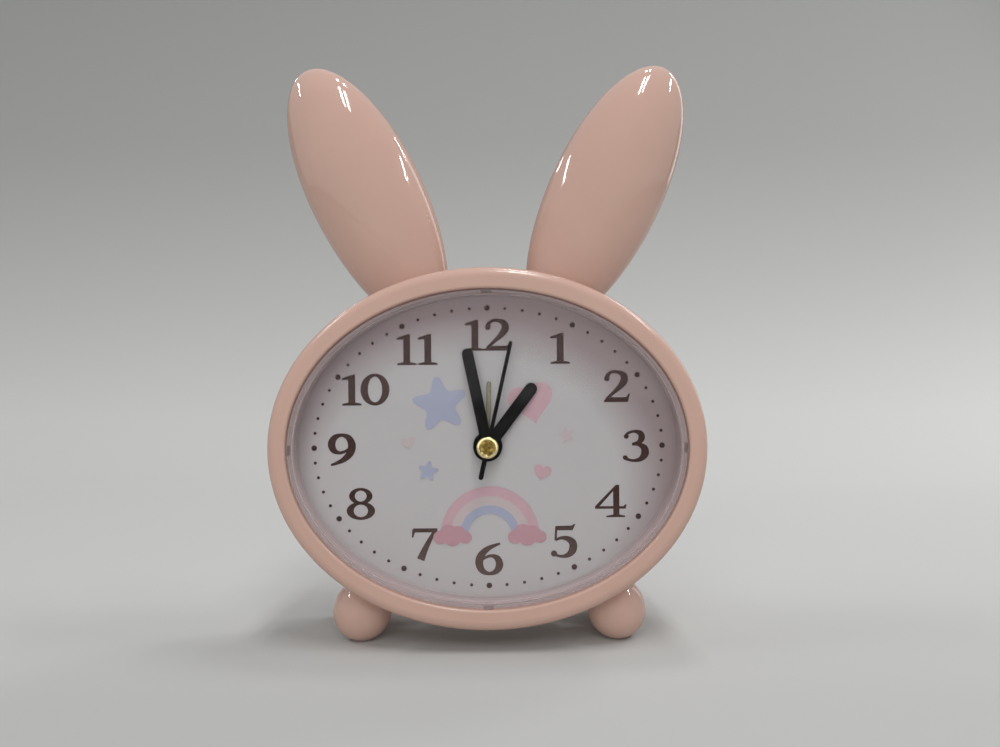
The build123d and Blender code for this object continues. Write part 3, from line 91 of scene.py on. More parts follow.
class Nodes:
    """A short way to build a node material."""

    def __init__(self, name):
        self.mat = bpy.data.materials.new(name)
        self.mat.use_nodes = True
        self.tree = self.mat.node_tree
        self.tree.nodes.clear()
        self.out = self.add("ShaderNodeOutputMaterial")

    def add(self, kind, **values):
        node = self.tree.nodes.new(kind)
        for key, value in values.items():
            setattr(node, key, value)
        return node

    def join(self, source, target):
        self.tree.links.new(source, target)


def principled(n, color, rough, **extra):
    """The main shader, with uniform values on its own sockets."""
    shader = n.add("ShaderNodeBsdfPrincipled")
    shader.inputs["Base Color"].default_value = color
    shader.inputs["Roughness"].default_value = rough
    for key, value in extra.items():
        shader.inputs[key.replace("_", " ")].default_value = value
    n.join(shader.outputs[0], n.out.inputs[0])
    return shader


def object_coordinates(n):
    """The place of a point on its piece, which stays with the piece as it moves."""
    return n.add("ShaderNodeTexCoord").outputs["Object"]


def noise(n, scale, detail=4.0, rough=0.5):
    """Noise in the piece's own space."""
    tex = n.add("ShaderNodeTexNoise")
    tex.inputs["Scale"].default_value = scale
    tex.inputs["Detail"].default_value = detail
    tex.inputs["Roughness"].default_value = rough
    n.join(object_coordinates(n), tex.inputs["Vector"])
    return tex.outputs["Fac"]


def wave(n, direction, scale, distortion=0.0):
    """Even bands along one axis of the piece's own space."""
    tex = n.add("ShaderNodeTexWave", bands_direction=direction)
    tex.inputs["Scale"].default_value = scale
    tex.inputs["Distortion"].default_value = distortion
    n.join(object_coordinates(n), tex.inputs["Vector"])
    return tex.outputs["Fac"]


def ranged(n, source, low, high, from_low=0.3, from_high=0.7):
    """A value remapped into a narrow range. The usual source is noise, most of which is 0.3 to 0.7."""
    node = n.add("ShaderNodeMapRange")
    node.inputs["From Min"].default_value = from_low
    node.inputs["From Max"].default_value = from_high
    node.inputs["To Min"].default_value = low
    node.inputs["To Max"].default_value = high
    n.join(source, node.inputs["Value"])
    return node.outputs["Result"]


def mixed(n, factor, a, b):
    """Two colours mixed by a factor, where each is a fixed colour or another node's output."""
    node = n.add("ShaderNodeMix", data_type="RGBA")
    n.join(factor, node.inputs[0])
    for color, socket in ((a, node.inputs[6]), (b, node.inputs[7])):
        if isinstance(color, tuple):
            socket.default_value = color
        else:
            n.join(color, socket)
    return node.outputs[2]


def larger(n, a, b):
    """The larger of two values."""
    node = n.add("ShaderNodeMath", operation="MAXIMUM")
    n.join(a, node.inputs[0])
    n.join(b, node.inputs[1])
    return node.outputs[0]


def bumped(n, shader, relief, distance, strength=1.0):
    """Bump on a shader from a relief, with its distance in metres."""
    bump = n.add("ShaderNodeBump")
    bump.inputs["Strength"].default_value = strength
    bump.inputs["Distance"].default_value = distance
    n.join(relief, bump.inputs["Height"])
    n.join(bump.outputs[0], shader.inputs["Normal"])


def by_height(n, low_z, high_z):
    """0 to 1 between two heights on the dial, in millimetres."""
    split = n.add("ShaderNodeSeparateXYZ")
    n.join(object_coordinates(n), split.inputs[0])
    return ranged(n, split.outputs["Z"], 0.0, 1.0, (HUB_Z + low_z) * MM, (HUB_Z + high_z) * MM)


def by_depth(n, front, rear, high=1.0):
    """0 to a highest value between two depths, in millimetres."""
    split = n.add("ShaderNodeSeparateXYZ")
    n.join(object_coordinates(n), split.inputs[0])
    return ranged(n, split.outputs["Y"], 0.0, high, (FRONT_Y + front) * MM, (FRONT_Y + rear) * MM)


def oval_distance(n, half_x, half_z, x=0.0, z=0.0):
    """How far a point lies from the middle of an oval on the dial, where 1 is its edge."""
    place = n.add("ShaderNodeMapping")
    place.inputs["Location"].default_value = (-x / half_x, 0.0, -(HUB_Z + z) / half_z)
    place.inputs["Scale"].default_value = (1 / (half_x * MM), 0.0, 1 / (half_z * MM))
    n.join(object_coordinates(n), place.inputs["Vector"])
    length = n.add("ShaderNodeVectorMath", operation="LENGTH")
    n.join(place.outputs[0], length.inputs[0])
    return length.outputs["Value"]


# ---- Materials ----------------------------------------------------------------------------------
def surface(name, color, color_b, rough, scale, grain, grain_scale, **extra):
    """A moulded, painted or metal surface: faint colour drift, uneven gloss and a fine grain."""
    n = Nodes(name)
    shader = principled(n, color, rough[0], **extra)
    drift = noise(n, scale)
    n.join(mixed(n, ranged(n, drift, 0.0, 1.0), color, color_b), shader.inputs["Base Color"])
    n.join(ranged(n, drift, *rough), shader.inputs["Roughness"])
    bumped(n, shader, noise(n, grain_scale, 2.0), grain)
    return n.mat


PEACH = ((187, 153, 139), (190, 156, 142))
PEACH_GRAIN = (60.0, 0.000002, 700.0)
PRINT_ROUGH = (0.42, 0.5)
PRINT_GRAIN = (1200.0, 0.000003, 5000.0)

# short name, material name, two colours, roughness, then the scale of the drift,
# the height of the grain in metres and its scale
PLAIN_SURFACES = [
    ("peach", "peach_plastic", *PEACH, (0.05, 0.07), *PEACH_GRAIN),
    ("peach_satin", "peach_satin", *PEACH, (0.19, 0.24), *PEACH_GRAIN),
    ("blue_print", "blue_print", (152, 158, 178), (156, 161, 180), PRINT_ROUGH, *PRINT_GRAIN),
    ("pink_print", "pink_print", (186, 153, 161), (190, 157, 164), PRINT_ROUGH, *PRINT_GRAIN),
    ("deep_pink_print", "deep_pink_print", (176, 137, 145), (180, 140, 148), PRINT_ROUGH, *PRINT_GRAIN),
    ("pale_print", "pale_pink_print", (183, 171, 172), (186, 173, 173), PRINT_ROUGH, *PRINT_GRAIN),
    ("black", "black_paint", (9, 9, 10), (13, 12, 13), (0.5, 0.62), 1500.0, 0.000005, 3500.0),
    ("olive", "olive_paint", (94, 92, 73), (100, 96, 75), (0.35, 0.45), 1500.0, 0.000004, 3500.0),
    ("white", "white_plastic", (205, 202, 198), (209, 206, 201), (0.35, 0.45), 300.0, 0.00001, 1200.0),
    ("steel", "zinc_steel", (176, 178, 182), (160, 163, 168), (0.28, 0.42), 900.0, 0.00001, 2500.0),
    ("dark_plastic", "movement_plastic", (34, 34, 36), (38, 38, 40), (0.45, 0.55), 500.0, 0.00002, 1500.0),
    ("acetal", "wheel_plastic", (212, 208, 196), (216, 212, 201), (0.35, 0.45), 500.0, 0.00001, 1500.0),
    ("magnet", "magnet_dark", (58, 58, 62), (64, 64, 68), (0.4, 0.55), 900.0, 0.00001, 2500.0),
    ("board", "board_green", (38, 92, 60), (44, 100, 66), (0.25, 0.35), 300.0, 0.00001, 1800.0),
    ("epoxy", "chip_black", (26, 26, 27), (30, 30, 31), (0.35, 0.5), 500.0, 0.00001, 1800.0),
    ("nickel", "nickel", (200, 197, 188), (190, 187, 178), (0.18, 0.3), 900.0, 0.000008, 2500.0),
    ("cell", "battery_label", (60, 84, 128), (64, 88, 132), (0.2, 0.28), 200.0, 0.000006, 900.0),
    ("wire", "wire_red", (150, 44, 38), (156, 50, 42), (0.4, 0.5), 600.0, 0.00001, 1800.0),
    ("lamp", "light_white", (226, 224, 206), (230, 228, 210), (0.25, 0.35), 600.0, 0.000006, 1800.0),
]
EXTRA = {
    "black": {"Specular_IOR_Level": 0.06}, "olive": {"Metallic": 0.5},
    "steel": {"Metallic": 1.0}, "nickel": {"Metallic": 1.0},
}
M = {}
for key, name, color, color_b, *finish in PLAIN_SURFACES:
    M[key] = surface(name, srgb(*color), srgb(*color_b), *finish, **EXTRA.get(key, {}))

CAP_CIRCLE = 2.8  # a circle just inside the cap's edge, in millimetres
CAP_RIM = (0.66, 0.98)  # where the dish's painted shade turns into the rim's painted highlight, as shares of that circle


def brass_material():
    """Pressed brass: a mottled dish whose dark colours are painted shade, inside a rim whose bright colour
    is a painted highlight.
    """
    n = Nodes("pressed_brass")
    shader = principled(n, srgb(176, 146, 84), 0.2, Metallic=1.0)
    mottle = noise(n, 1000.0, 3.0, 0.55)
    # the dish's dark colours are painted shade, and the rim's bright colour is a painted highlight
    dish = mixed(n, ranged(n, mottle, 0.0, 1.0, 0.36, 0.64), srgb(78, 62, 27), srgb(134, 112, 54))
    rim = ranged(n, oval_distance(n, CAP_CIRCLE, CAP_CIRCLE), 0.0, 1.0, *CAP_RIM)
    n.join(mixed(n, rim, dish, srgb(232, 218, 164)), shader.inputs["Base Color"])
    n.join(ranged(n, mottle, 0.14, 0.3), shader.inputs["Roughness"])
    bumped(n, shader, mottle, 0.00004, 0.6)
    return n.mat


def coil_material():
    """Fine copper wire wound in even turns."""
    n = Nodes("coil_copper")
    shader = principled(n, srgb(176, 104, 62), 0.3, Metallic=0.8)
    turns = wave(n, "Z", 1600.0, 0.6)
    n.join(mixed(n, turns, srgb(140, 78, 44), srgb(190, 118, 74)), shader.inputs["Base Color"])
    n.join(ranged(n, turns, 0.25, 0.4, 0.0, 1.0), shader.inputs["Roughness"])
    bumped(n, shader, turns, 0.00005)
    return n.mat


LENS_OVAL = (54.9, 43.65)
NUB_DEPTHS = (0.66, 0.72)  # the nubs' painted shade, a darker colour, ends here, at the lens's front
WALL_DEPTHS = (2.2, 2.9)  # the clear front turns into the milky wall
WALL_SHARES = (0.968, 0.98)  # and into the milky rim of the front, as shares of the oval


def lens_material():
    """Clear plastic whose front is polished and whose side wall is faintly milky.

    Shadow rays pass through it, so that the dial behind it is lit.
    """
    n = Nodes("clear_plastic")
    polished = principled(n, (0.975, 0.97, 0.972, 1.0), 0.02, Transmission_Weight=1.0, IOR=1.12)
    n.join(ranged(n, noise(n, 90.0, 3.0), 0.01, 0.035), polished.inputs["Roughness"])
    milky = principled(n, srgb(190, 172, 171), 0.3)
    # thin darker bands along the side wall are painted shade lines, and the nubs get a dark painted shade
    lines = ranged(n, wave(n, "Y", 150.0), 0.0, 1.0, 0.0, 0.3)
    lined = mixed(n, lines, srgb(180, 161, 161), srgb(208, 191, 190))
    n.join(mixed(n, by_depth(n, *NUB_DEPTHS), srgb(112, 98, 96), lined), milky.inputs["Base Color"])
    wall = larger(
        n, by_depth(n, *WALL_DEPTHS, 0.65), ranged(n, oval_distance(n, *LENS_OVAL), 0.0, 0.4, *WALL_SHARES),
    )
    body = n.add("ShaderNodeMixShader")
    n.join(wall, body.inputs[0])
    n.join(polished.outputs[0], body.inputs[1])
    n.join(milky.outputs[0], body.inputs[2])
    clear = n.add("ShaderNodeBsdfTransparent")
    clear.inputs[0].default_value = (0.94, 0.935, 0.94, 1.0)
    path = n.add("ShaderNodeLightPath")
    whole = n.add("ShaderNodeMixShader")
    n.join(larger(n, path.outputs["Is Shadow Ray"], path.outputs["Is Diffuse Ray"]), whole.inputs[0])
    n.join(body.outputs[0], whole.inputs[1])
    n.join(clear.outputs[0], whole.inputs[2])
    n.join(whole.outputs[0], n.out.inputs[0])
    return n.mat


def printed_material(name, color, color_b, share):
    """Satin paper or ink, whose colour changes over the dial with the share of its second colour."""
    n = Nodes(name)
    shader = principled(n, color, PRINT_ROUGH[0], Specular_IOR_Level=0.15)
    n.join(mixed(n, share(n), color, color_b), shader.inputs["Base Color"])
    fibre = noise(n, 4000.0, 2.0)
    n.join(ranged(n, fibre, *PRINT_ROUGH), shader.inputs["Roughness"])
    bumped(n, shader, fibre, 0.000004)
    return n.mat


def card_shade_and_reflection(n):
    """0 over the card's pale middle, which lies a little low and left, and 1 at its darker border, which is
    painted shade and a painted reflection in the lens.
    """
    return ranged(n, oval_distance(n, 52.0, 46.0, -5.0, -12.0), 0.0, 1.0, 0.82, 1.07)


# the card darkens towards its border with painted shade and a painted reflection in the lens
M["card"] = printed_material("printed_card", srgb(187, 185, 185), srgb(156, 142, 143), card_shade_and_reflection)
# painted shade and reflection: the ink is darker above and lighter over the lower numerals, as a painted
# reflection in the lens
M["ink"] = printed_material(
    "brown_ink", srgb(92, 78, 74), srgb(56, 38, 34), lambda n: by_height(n, -33, -14),
)
# the dots get the same painted shade and reflection: darker above and lighter towards the bottom
M["dot_ink"] = printed_material(
    "dark_ink", srgb(84, 70, 69), srgb(58, 42, 41), lambda n: by_height(n, -38, -14),
)
M["brass"] = brass_material()
M["copper"] = coil_material()
M["lens"] = lens_material()

# the record's material slots, and the finish that each one gets
FINISHES = {
    "peach_plastic": "peach", "clear_plastic": "lens", "printed_card": "card", "white_plastic": "white",
    "black_paint": "black", "olive_paint": "olive", "pressed_brass": "brass", "zinc_steel": "steel",
    "movement_plastic": "dark_plastic", "wheel_plastic": "acetal", "magnet_black": "magnet",
    "coil_copper": "copper", "board_green": "board", "chip_black": "epoxy", "nickel": "nickel",
    "battery_label": "cell", "wire_red": "wire", "light_white": "lamp",
}
for part in frame["record"]["subparts"]:
    obj = NODES[part["node"]]
    obj.data.materials.clear()
    obj.data.materials.append(M[FINISHES[part["material_slot"]]])
NODES["front_bezel"].data.materials[0] = M["peach_satin"]

# ---- Printing on the dial card ------------------------------------------------------------------
CARD_DEPTH = 9.2
PRINT_LIFT = 0.02  # the first printed shape lies this far in front of the card
LAYER_LIFT = 0.0012  # and each further one this far in front of the one before
STROKE_RISE = 0.001
STROKE_STEPS = 10
layer_count = 0


def next_depth():
    """Each printed shape lies a hair in front of the one before, so that none share a plane."""
    global layer_count
    layer_count += 1
    return CARD_DEPTH - PRINT_LIFT - LAYER_LIFT * layer_count


def smooth_line(points):
    """Points along a smooth line through the given ones, with widths carried along."""
    last = len(points) - 1
    result = []
    for i in range(last):
        around = [points[max(0, min(last, i + k - 1))] for k in range(4)]
        for s in range(STROKE_STEPS):
            t = s / STROKE_STEPS
            result.append(tuple(
                0.5 * (2 * b + (c - a) * t + (2 * a - 5 * b + 4 * c - d) * t * t
                       + (3 * b - a - 3 * c + d) * t**3)
                for a, b, c, d in zip(*around)
            ))
    result.append(tuple(points[-1]))
    return result


class Print:
    """Collects flat shapes for one printed piece."""

    def __init__(self):
        self.verts = []
        self.faces = []

    def polygon(self, outline):
        """A filled outline, as one flat face. The outline runs anticlockwise, so that it looks forwards."""
        depth = next_depth()
        first = len(self.verts)
        self.verts += [at(x, depth, z) for x, z in outline]
        self.faces.append(tuple(range(first, first + len(outline))))

    def stroke(self, points):
        """A pen stroke of changing width along a smooth line of (x, z, width).

        It rises by a hair along its way, so that its end can lie over its start.
        """
        line = smooth_line(points)
        depth = next_depth()
        first = len(self.verts)
        count = len(line)
        for i, (x, z, width) in enumerate(line):
            before, after = line[max(0, i - 1)], line[min(count - 1, i + 1)]
            dx, dz = after[0] - before[0], after[1] - before[1]
            size = math.hypot(dx, dz)
            nx, nz = -dz / size * width / 2, dx / size * width / 2
            raised = depth - STROKE_RISE * i / count
            self.verts += [at(x + nx, raised, z + nz), at(x - nx, raised, z - nz)]
        for i in range(count - 1):
            a, b = first + 2 * i, first + 2 * (i + 1)
            self.faces.append((a, a + 1, b + 1, b))

    def disc(self, x, z, radius_x, radius_z=None, sides=28):
        """A filled disc or oval."""
        radius_z = radius_z or radius_x
        angles = [2 * math.pi * k / sides for k in range(sides)]
        self.polygon([(x + radius_x * math.cos(t), z + radius_z * math.sin(t)) for t in angles])

    def ring(self, x, z, outer, inner, sides=40, end=360.0):
        """An oval ring, or an arch that starts on the right, between two ovals."""
        depth = next_depth()
        first = len(self.verts)
        count = sides if end >= 360.0 else sides + 1
        for k in range(count):
            t = math.radians(end * k / sides)
            self.verts.append(at(x + outer[0] * math.cos(t), depth, z + outer[1] * math.sin(t)))
            self.verts.append(at(x + inner[0] * math.cos(t), depth, z + inner[1] * math.sin(t)))
        for k in range(sides):
            a, b = first + 2 * k, first + 2 * ((k + 1) % count)
            self.faces.append((a, b, b + 1, a + 1))

    def make(self, name, mat):
        """The finished piece, riding on the clock's body as part of the printed card."""
        obj = mesh_object(name, self.verts, self.faces, mat)
        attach(obj, "root")


# ---- Numerals -----------------------------------------------------------------------------------
# Each is drawn 8.7 mm tall, standing on z = 0 with x = 0 in its middle, and then grows.
DRAWN_MIDDLE = 4.35
GROW = 1.035
HEAVY = 1.1 * GROW  # strokes and dots grow by this much


def glyph(p, digit, ox, oz):
    """One numeral with its middle at (ox, oz)."""
    def move(points):
        return [
            (ox + x * GROW, oz + (z - DRAWN_MIDDLE) * GROW, *[w * HEAVY for w in width])
            for x, z, *width in points
        ]

    def stroke(*points):
        p.stroke(move(points))

    def shape(*points):
        p.polygon(move(points))

    def dot(x, z, r):
        p.disc(ox + x * GROW, oz + (z - DRAWN_MIDDLE) * GROW, r * HEAVY)

    def ring(z, outer, inner):
        p.ring(ox, oz + z * GROW, (outer[0] * GROW, outer[1] * GROW), (inner[0] * GROW, inner[1] * GROW))

    if digit == "0":
        ring(0.0, (4.0, 4.4), (1.95, 3.5))
    elif digit == "1":
        shape((-0.95, 0.2), (0.95, 0.2), (0.95, 8.0), (0.95, 8.6), (-0.95, 7.9))
        shape((-2.65, 0.0), (2.65, 0.0), (2.65, 0.5), (1.0, 0.85), (-1.0, 0.85), (-2.65, 0.5))
        shape((-2.7, 6.95), (-0.8, 7.1), (0.95, 8.55), (0.2, 8.5), (-2.7, 7.55))
    elif digit == "2":
        stroke((-2.7, 6.35, 0.9), (-2.45, 7.35, 0.95), (-1.3, 8.25, 0.8), (0.35, 8.25, 0.9), (1.8, 7.5, 1.6),
               (2.15, 6.1, 1.9), (1.2, 4.5, 1.5), (-0.6, 2.8, 0.95), (-2.9, 0.75, 0.7))
        dot(-2.6, 6.5, 0.72)
        shape((-3.5, 0.0), (3.1, 0.0), (3.75, 2.3), (3.25, 2.3), (2.6, 1.35), (-2.3, 1.35), (-3.5, 0.5))
    elif digit == "3":
        stroke((-2.5, 6.9, 0.9), (-2.0, 7.85, 0.7), (-0.2, 8.35, 0.75), (1.4, 7.8, 1.4), (1.75, 6.5, 1.65),
               (0.9, 5.3, 1.1), (-0.9, 4.85, 0.6))
        stroke((-0.9, 4.8, 0.6), (0.9, 4.75, 0.9), (2.4, 3.8, 1.7), (2.6, 2.2, 1.95), (1.4, 0.75, 1.2),
               (-0.7, 0.35, 0.7), (-2.5, 0.85, 0.75), (-3.35, 1.55, 0.5))
        dot(-2.45, 7.0, 0.62)
        dot(-2.75, 1.15, 0.6)
    elif digit == "4":
        shape((0.75, 0.2), (2.45, 0.2), (2.45, 8.9), (1.7, 8.9), (0.75, 7.7))
        shape((-4.2, 2.35), (4.2, 2.35), (4.45, 3.5), (4.0, 3.5), (3.6, 3.05), (-4.2, 3.05))
        shape((-4.2, 2.4), (-3.1, 2.9), (2.3, 8.9), (1.5, 8.9), (-4.3, 3.0))
        shape((-1.2, 0.0), (4.0, 0.0), (4.0, 0.42), (2.4, 0.75), (0.8, 0.75), (-1.2, 0.42))
    elif digit == "5":
        shape((-2.3, 7.45), (2.4, 7.45), (3.2, 9.15), (2.7, 9.15), (2.1, 8.75), (-2.3, 8.65))
        stroke((-2.05, 8.5, 0.55), (-2.3, 4.7, 0.6))
        stroke((-2.35, 4.75, 0.6), (-0.9, 5.35, 0.75), (1.0, 5.15, 1.35), (2.45, 3.9, 1.9), (2.3, 1.9, 1.9),
               (0.9, 0.6, 1.2), (-1.0, 0.35, 0.7), (-2.9, 0.95, 0.7))
        dot(-2.75, 1.1, 0.78)
    elif digit in "69":
        six = [(3.0, 8.6, 0.5), (1.6, 8.15, 0.8), (-0.6, 7.1, 1.35), (-2.35, 5.3, 1.85), (-2.8, 3.1, 1.95),
               (-1.9, 1.15, 1.5), (0.0, 0.4, 0.85), (1.9, 1.1, 1.5), (2.75, 2.8, 1.9), (2.2, 4.5, 1.55),
               (0.7, 5.25, 0.85), (-1.0, 4.85, 0.7), (-2.1, 4.0, 0.5)]
        # a 9 is a 6 turned upside down
        stroke(*(six if digit == "6" else [(-x, 2 * DRAWN_MIDDLE - z, w) for x, z, w in six]))
    elif digit == "7":
        shape((-3.55, 7.1), (-3.2, 7.15), (-2.6, 7.5), (3.4, 7.5), (3.5, 8.6), (-3.1, 8.6), (-3.4, 8.3))
        shape((-3.6, 6.1), (-3.15, 6.1), (-2.5, 8.2), (-3.25, 8.5))
        stroke((3.1, 8.2, 0.9), (1.5, 5.7, 1.1), (0.0, 2.8, 1.5), (-1.2, 0.0, 2.0))
    elif digit == "8":
        ring(2.15, (3.2, 2.25), (1.6, 1.5))
        ring(-1.9, (3.9, 2.5), (1.95, 1.7))


# numeral, the x of each of its digits, and its z
NUMERALS = [
    ("12", (-3.4, 3.0), 31.6), ("1", (20.8,), 27.7), ("2", (36.7,), 16.7), ("3", (41.9,), -0.3),
    ("4", (34.7,), -16.0), ("5", (21.4,), -27.3), ("6", (0.2,), -32.1), ("7", (-18.1,), -27.6),
    ("8", (-36.2,), -16.1), ("9", (-41.5,), -0.6), ("10", (-38.5, -31.9), 16.35),
    ("11", (-22.8, -16.8), 27.7),
]
for text, places, z in NUMERALS:
    numeral = Print()
    for digit, x in zip(text, places):
        glyph(numeral, digit, x, z)
    numeral.make(f"numeral_{text}", M["ink"])

# ---- Minute dots --------------------------------------------------------------------------------
DOT_OVAL = (49.4, 39.4)
DOT_MIDDLE = (0.1, -0.15)
DOT_SHIFT = 0.78  # degrees, by which the dots between the quarters lie nearer to the upright
DOT_RADIUS = 0.45
HOUR_DOT_RADIUS = 0.8

dots = Print()
for minute in range(60):
    theta = math.radians(6.0 * minute)
    theta -= math.radians(DOT_SHIFT) * math.sin(2 * theta)
    dots.disc(
        DOT_MIDDLE[0] + DOT_OVAL[0] * math.sin(theta), DOT_MIDDLE[1] + DOT_OVAL[1] * math.cos(theta),
        HOUR_DOT_RADIUS if minute % 5 == 0 else DOT_RADIUS, sides=20,
    )
dots.make("minute_dots", M["dot_ink"])

# ---- Artwork: a pastel rainbow on two clouds, with hearts and stars ------------------------------
HEART_SIDES = 48
STAR_SIDES = 60
STAR_WAIST = 0.56  # how far in the star goes between its points, as a share of its size
STAR_SHARPNESS = 1.6
CLOUD_PUFFS = (
    (-1.0, 0.0, 0.62), (-0.35, 0.42, 0.72), (0.45, 0.34, 0.66), (1.05, -0.02, 0.56), (0.0, -0.1, 0.7),
)
PUFF_FLATNESS = 0.92
RAINBOW_X, RAINBOW_Z = 0.4, -25.4
RAINBOW_BANDS = (
    ("rainbow_outer", 14.0, 11.2, "pink_print"),
    ("rainbow_middle", 11.2, 8.6, "pale_print"),
    ("rainbow_inner", 8.6, 6.2, "blue_print"),
)
CLOUD_REACH = 10.6
CLOUD_DROP = 0.4
CLOUD_SIZE = 3.4


def heart(p, x, z, size, tilt):
    """A rounded heart."""
    outline = []
    c, s = math.cos(math.radians(tilt)), math.sin(math.radians(tilt))
    for k in range(HEART_SIDES):
        t = -2 * math.pi * k / HEART_SIDES
        hx = math.sin(t) ** 3 * size
        hz = (13 * math.cos(t) - 5 * math.cos(2 * t) - 2 * math.cos(3 * t) - math.cos(4 * t)) / 16 * size
        outline.append((x + hx * c - hz * s, z + hx * s + hz * c))
    p.polygon(outline)


def star(p, x, z, size, tilt):
    """A plump five-pointed star."""
    outline = []
    for k in range(STAR_SIDES):
        t = 2 * math.pi * k / STAR_SIDES
        pointed = (0.5 + 0.5 * math.cos(5 * t)) ** STAR_SHARPNESS
        r = size * (STAR_WAIST + (1 - STAR_WAIST) * pointed)
        angle = t + math.radians(90 + tilt)
        outline.append((x + r * math.cos(angle), z + r * math.sin(angle)))
    p.polygon(outline)


def cloud(p, x, z, size):
    """A cloud of overlapping puffs."""
    for dx, dz, r in CLOUD_PUFFS:
        p.disc(x + dx * size, z + dz * size, r * size, r * size * PUFF_FLATNESS)


for name, outer, inner, mat in RAINBOW_BANDS:
    band = Print()
    band.ring(RAINBOW_X, RAINBOW_Z, (outer, outer), (inner, inner), 48, 180.0)
    band.make(name, M[mat])
clouds = Print()
cloud(clouds, RAINBOW_X - CLOUD_REACH, RAINBOW_Z - CLOUD_DROP, CLOUD_SIZE)
cloud(clouds, RAINBOW_X + CLOUD_REACH, RAINBOW_Z - CLOUD_DROP, CLOUD_SIZE)
clouds.make("rainbow_clouds", M["deep_pink_print"])
hearts = Print()
heart(hearts, 12.4, 12.6, 6.4, 12.0)
heart(hearts, 15.4, -7.4, 2.5, -14.0)
hearts.make("hearts", M["pink_print"])
stars = Print()
star(stars, -13.4, 12.0, 8.0, 8.0)
star(stars, -17.0, -7.0, 3.0, -10.0)
stars.make("stars", M["blue_print"])
small = Print()
star(small, 22.4, 3.0, 2.3, 14.0)
heart(small, -22.6, 1.2, 2.0, 16.0)
small.make("small_motifs", M["pale_print"])

# ---- Floor and backdrop -------------------------------------------------------------------------
# Distance along the sweep from under the clock, in metres, and the grey there, which is painted light and
# shade: darker towards the front edge and up the backdrop. The distance is y + z.
SWEEP_PAINTED_LIGHT = [
    (-0.20, 177), (-0.05, 183), (0.03, 195), (0.30, 203),
    (0.50, 199), (0.70, 186), (1.00, 166), (1.20, 155),
]
TONE_START, TONE_END = -0.2, 1.3
SWEEP_HALF_WIDTH = 2.6
FLOOR_ROWS = (-1.6, -0.8, -0.3, 0.0, 0.25)
BEND_START = 0.30
BEND_RADIUS = 0.35
BEND_STEPS = 18
WALL_ROWS = (0.56, 0.76)


def sweep_material():
    """A pale sweep with painted light and shade: its grey changes slowly along its length, from the front
    edge up the backdrop.
    """
    n = Nodes("sweep")
    shader = principled(n, srgb(200, 200, 198), 0.9, Specular_IOR_Level=0.1)
    split = n.add("ShaderNodeSeparateXYZ")
    n.join(object_coordinates(n), split.inputs[0])
    along = n.add("ShaderNodeMath", operation="ADD")
    n.join(split.outputs["Y"], along.inputs[0])
    n.join(split.outputs["Z"], along.inputs[1])
    ramp = n.add("ShaderNodeValToRGB")
    stops = ramp.color_ramp.elements
    while len(stops) < len(SWEEP_PAINTED_LIGHT):
        stops.new(0.5)
    for stop, (distance, grey) in zip(stops, SWEEP_PAINTED_LIGHT):
        stop.position = (distance - TONE_START) / (TONE_END - TONE_START)
        stop.color = srgb(grey, grey, grey - 2)
    n.join(ranged(n, along.outputs[0], 0.0, 1.0, TONE_START, TONE_END), ramp.inputs["Fac"])
    n.join(ramp.outputs["Color"], shader.inputs["Base Color"])
    return n.mat


def sweep():
    """One curved sheet: flat floor, a wide bend, then an upright backdrop."""
    profile = [(y, 0.0) for y in FLOOR_ROWS]
    for k in range(BEND_STEPS + 1):
        t = math.radians(90.0 * k / BEND_STEPS)
        profile.append((BEND_START + BEND_RADIUS * math.sin(t), BEND_RADIUS - BEND_RADIUS * math.cos(t)))
    profile += [(BEND_START + BEND_RADIUS, z) for z in WALL_ROWS]
    verts, faces = [], []
    for y, z in profile:
        verts += [(-SWEEP_HALF_WIDTH, y, z), (SWEEP_HALF_WIDTH, y, z)]
    for k in range(len(profile) - 1):
        faces.append((2 * k, 2 * k + 1, 2 * k + 3, 2 * k + 2))
    mesh_object("studio_sweep", verts, faces, sweep_material(), True)


sweep()

# ---- Light --------------------------------------------------------------------------------------
ROOM_LIGHT = 0.22  # what the room gives to the object
ROOM_LOOK = 0.7  # how bright the camera, gloss and clear plastic see it
TUBE_HEIGHT = 1.42
TUBE_WIDTH = 0.035

# ceiling tubes: a pair over the clock with a short pair behind it, and single ones out to each side
# name, x, y, length, turn in degrees, power
TUBES = [
    ("tube_centre_a", 0.14, -0.545, 0.59, 0.0, 3.4),
    ("tube_centre_b", 0.24, -0.545, 0.59, 0.0, 3.4),
    ("tube_rear_a", 0.12, 0.16, 0.15, 0.0, 1.2),
    ("tube_rear_b", 0.24, 0.16, 0.15, 0.0, 1.2),
    ("tube_right", 1.39, -0.21, 0.68, 30.0, 8.5),
    ("tube_right_far", 1.09, 0.70, 0.33, 74.0, 2.5),
    ("tube_left", -1.475, -0.175, 0.78, -27.0, 7.5),
    ("tube_left_far", -1.26, 1.24, 0.24, -65.0, 2.0),
]


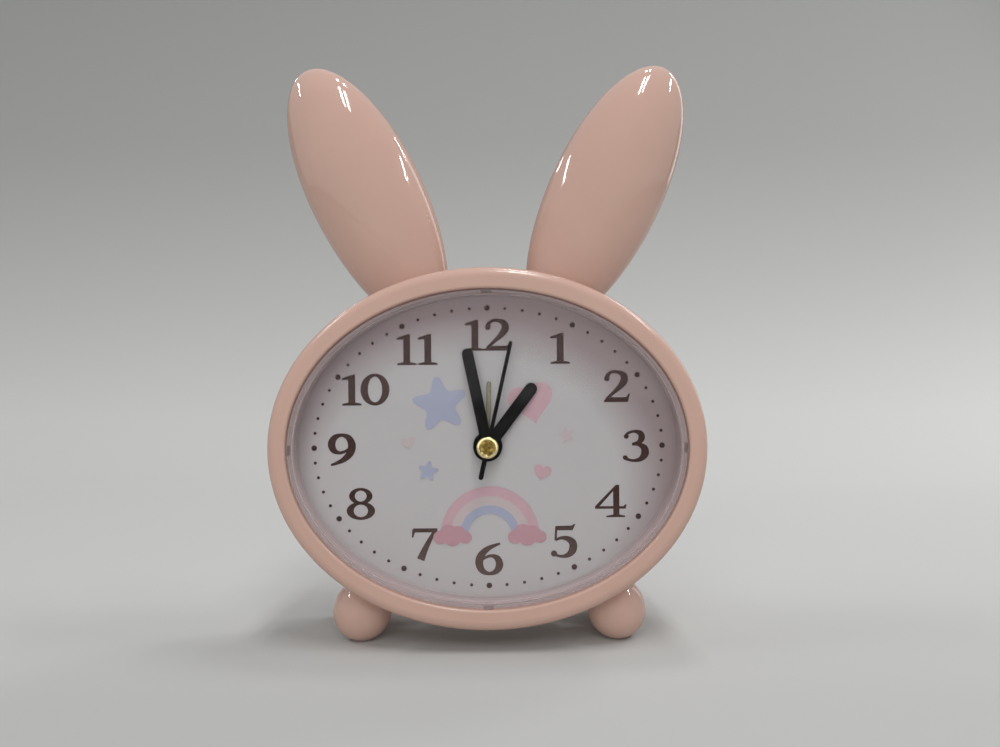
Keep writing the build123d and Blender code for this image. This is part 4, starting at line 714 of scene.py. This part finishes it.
def lamp(name, place, size, power, target=None, turn=0.0, mirrored=True):
    """A rectangular lamp that looks down, turned about the upright, or at a point.

    The camera sees none of them, and one that isn't mirrored stays out of glossy reflections too.
    """
    data = bpy.data.lights.new(name, "AREA")
    data.shape = "RECTANGLE"
    data.size, data.size_y = size
    data.energy = power
    obj = bpy.data.objects.new(name, data)
    bpy.context.scene.collection.objects.link(obj)
    obj.location = place
    if target:
        obj.rotation_euler = (Vector(target) - Vector(place)).to_track_quat("-Z", "Y").to_euler()
    else:
        obj.rotation_euler = (0.0, 0.0, math.radians(turn))
    obj.visible_glossy = mirrored
    obj.visible_camera = False


def surroundings():
    """A plain pale room: what the camera, gloss and clear plastic see is paler than the light it gives."""
    world = bpy.data.worlds.new("world")
    bpy.context.scene.world = world
    world.use_nodes = True
    tree = world.node_tree
    background = tree.nodes["Background"]
    background.inputs[0].default_value = (0.95, 0.97, 1.0, 1.0)
    path = tree.nodes.new("ShaderNodeLightPath")
    seen = path.outputs["Is Camera Ray"]
    for kind in ("Is Glossy Ray", "Is Transmission Ray"):
        either = tree.nodes.new("ShaderNodeMath")
        either.operation = "MAXIMUM"
        tree.links.new(seen, either.inputs[0])
        tree.links.new(path.outputs[kind], either.inputs[1])
        seen = either.outputs[0]
    strength = tree.nodes.new("ShaderNodeMapRange")
    strength.inputs["To Min"].default_value = ROOM_LIGHT
    strength.inputs["To Max"].default_value = ROOM_LOOK
    tree.links.new(seen, strength.inputs["Value"])
    tree.links.new(strength.outputs["Result"], background.inputs[1])


surroundings()
for name, x, y, length, turn, power in TUBES:
    lamp(name, (x, y, TUBE_HEIGHT), (TUBE_WIDTH, length), power, turn=turn)
lamp("front_soft", (-0.05, -1.2, 1.05), (1.1, 0.6), 5.6, target=(0.0, 0.0, 0.06), mirrored=False)
lamp("low_soft", (-0.15, -1.1, 0.15), (1.3, 0.24), 4.2, target=(0.0, 0.0, 0.05), mirrored=False)
lamp("rim_soft", (0.74, 0.46, 0.5), (0.22, 0.8), 1.0, target=(0.0, 0.0, 0.1))

bpy.context.scene.view_settings.view_transform = "Standard"
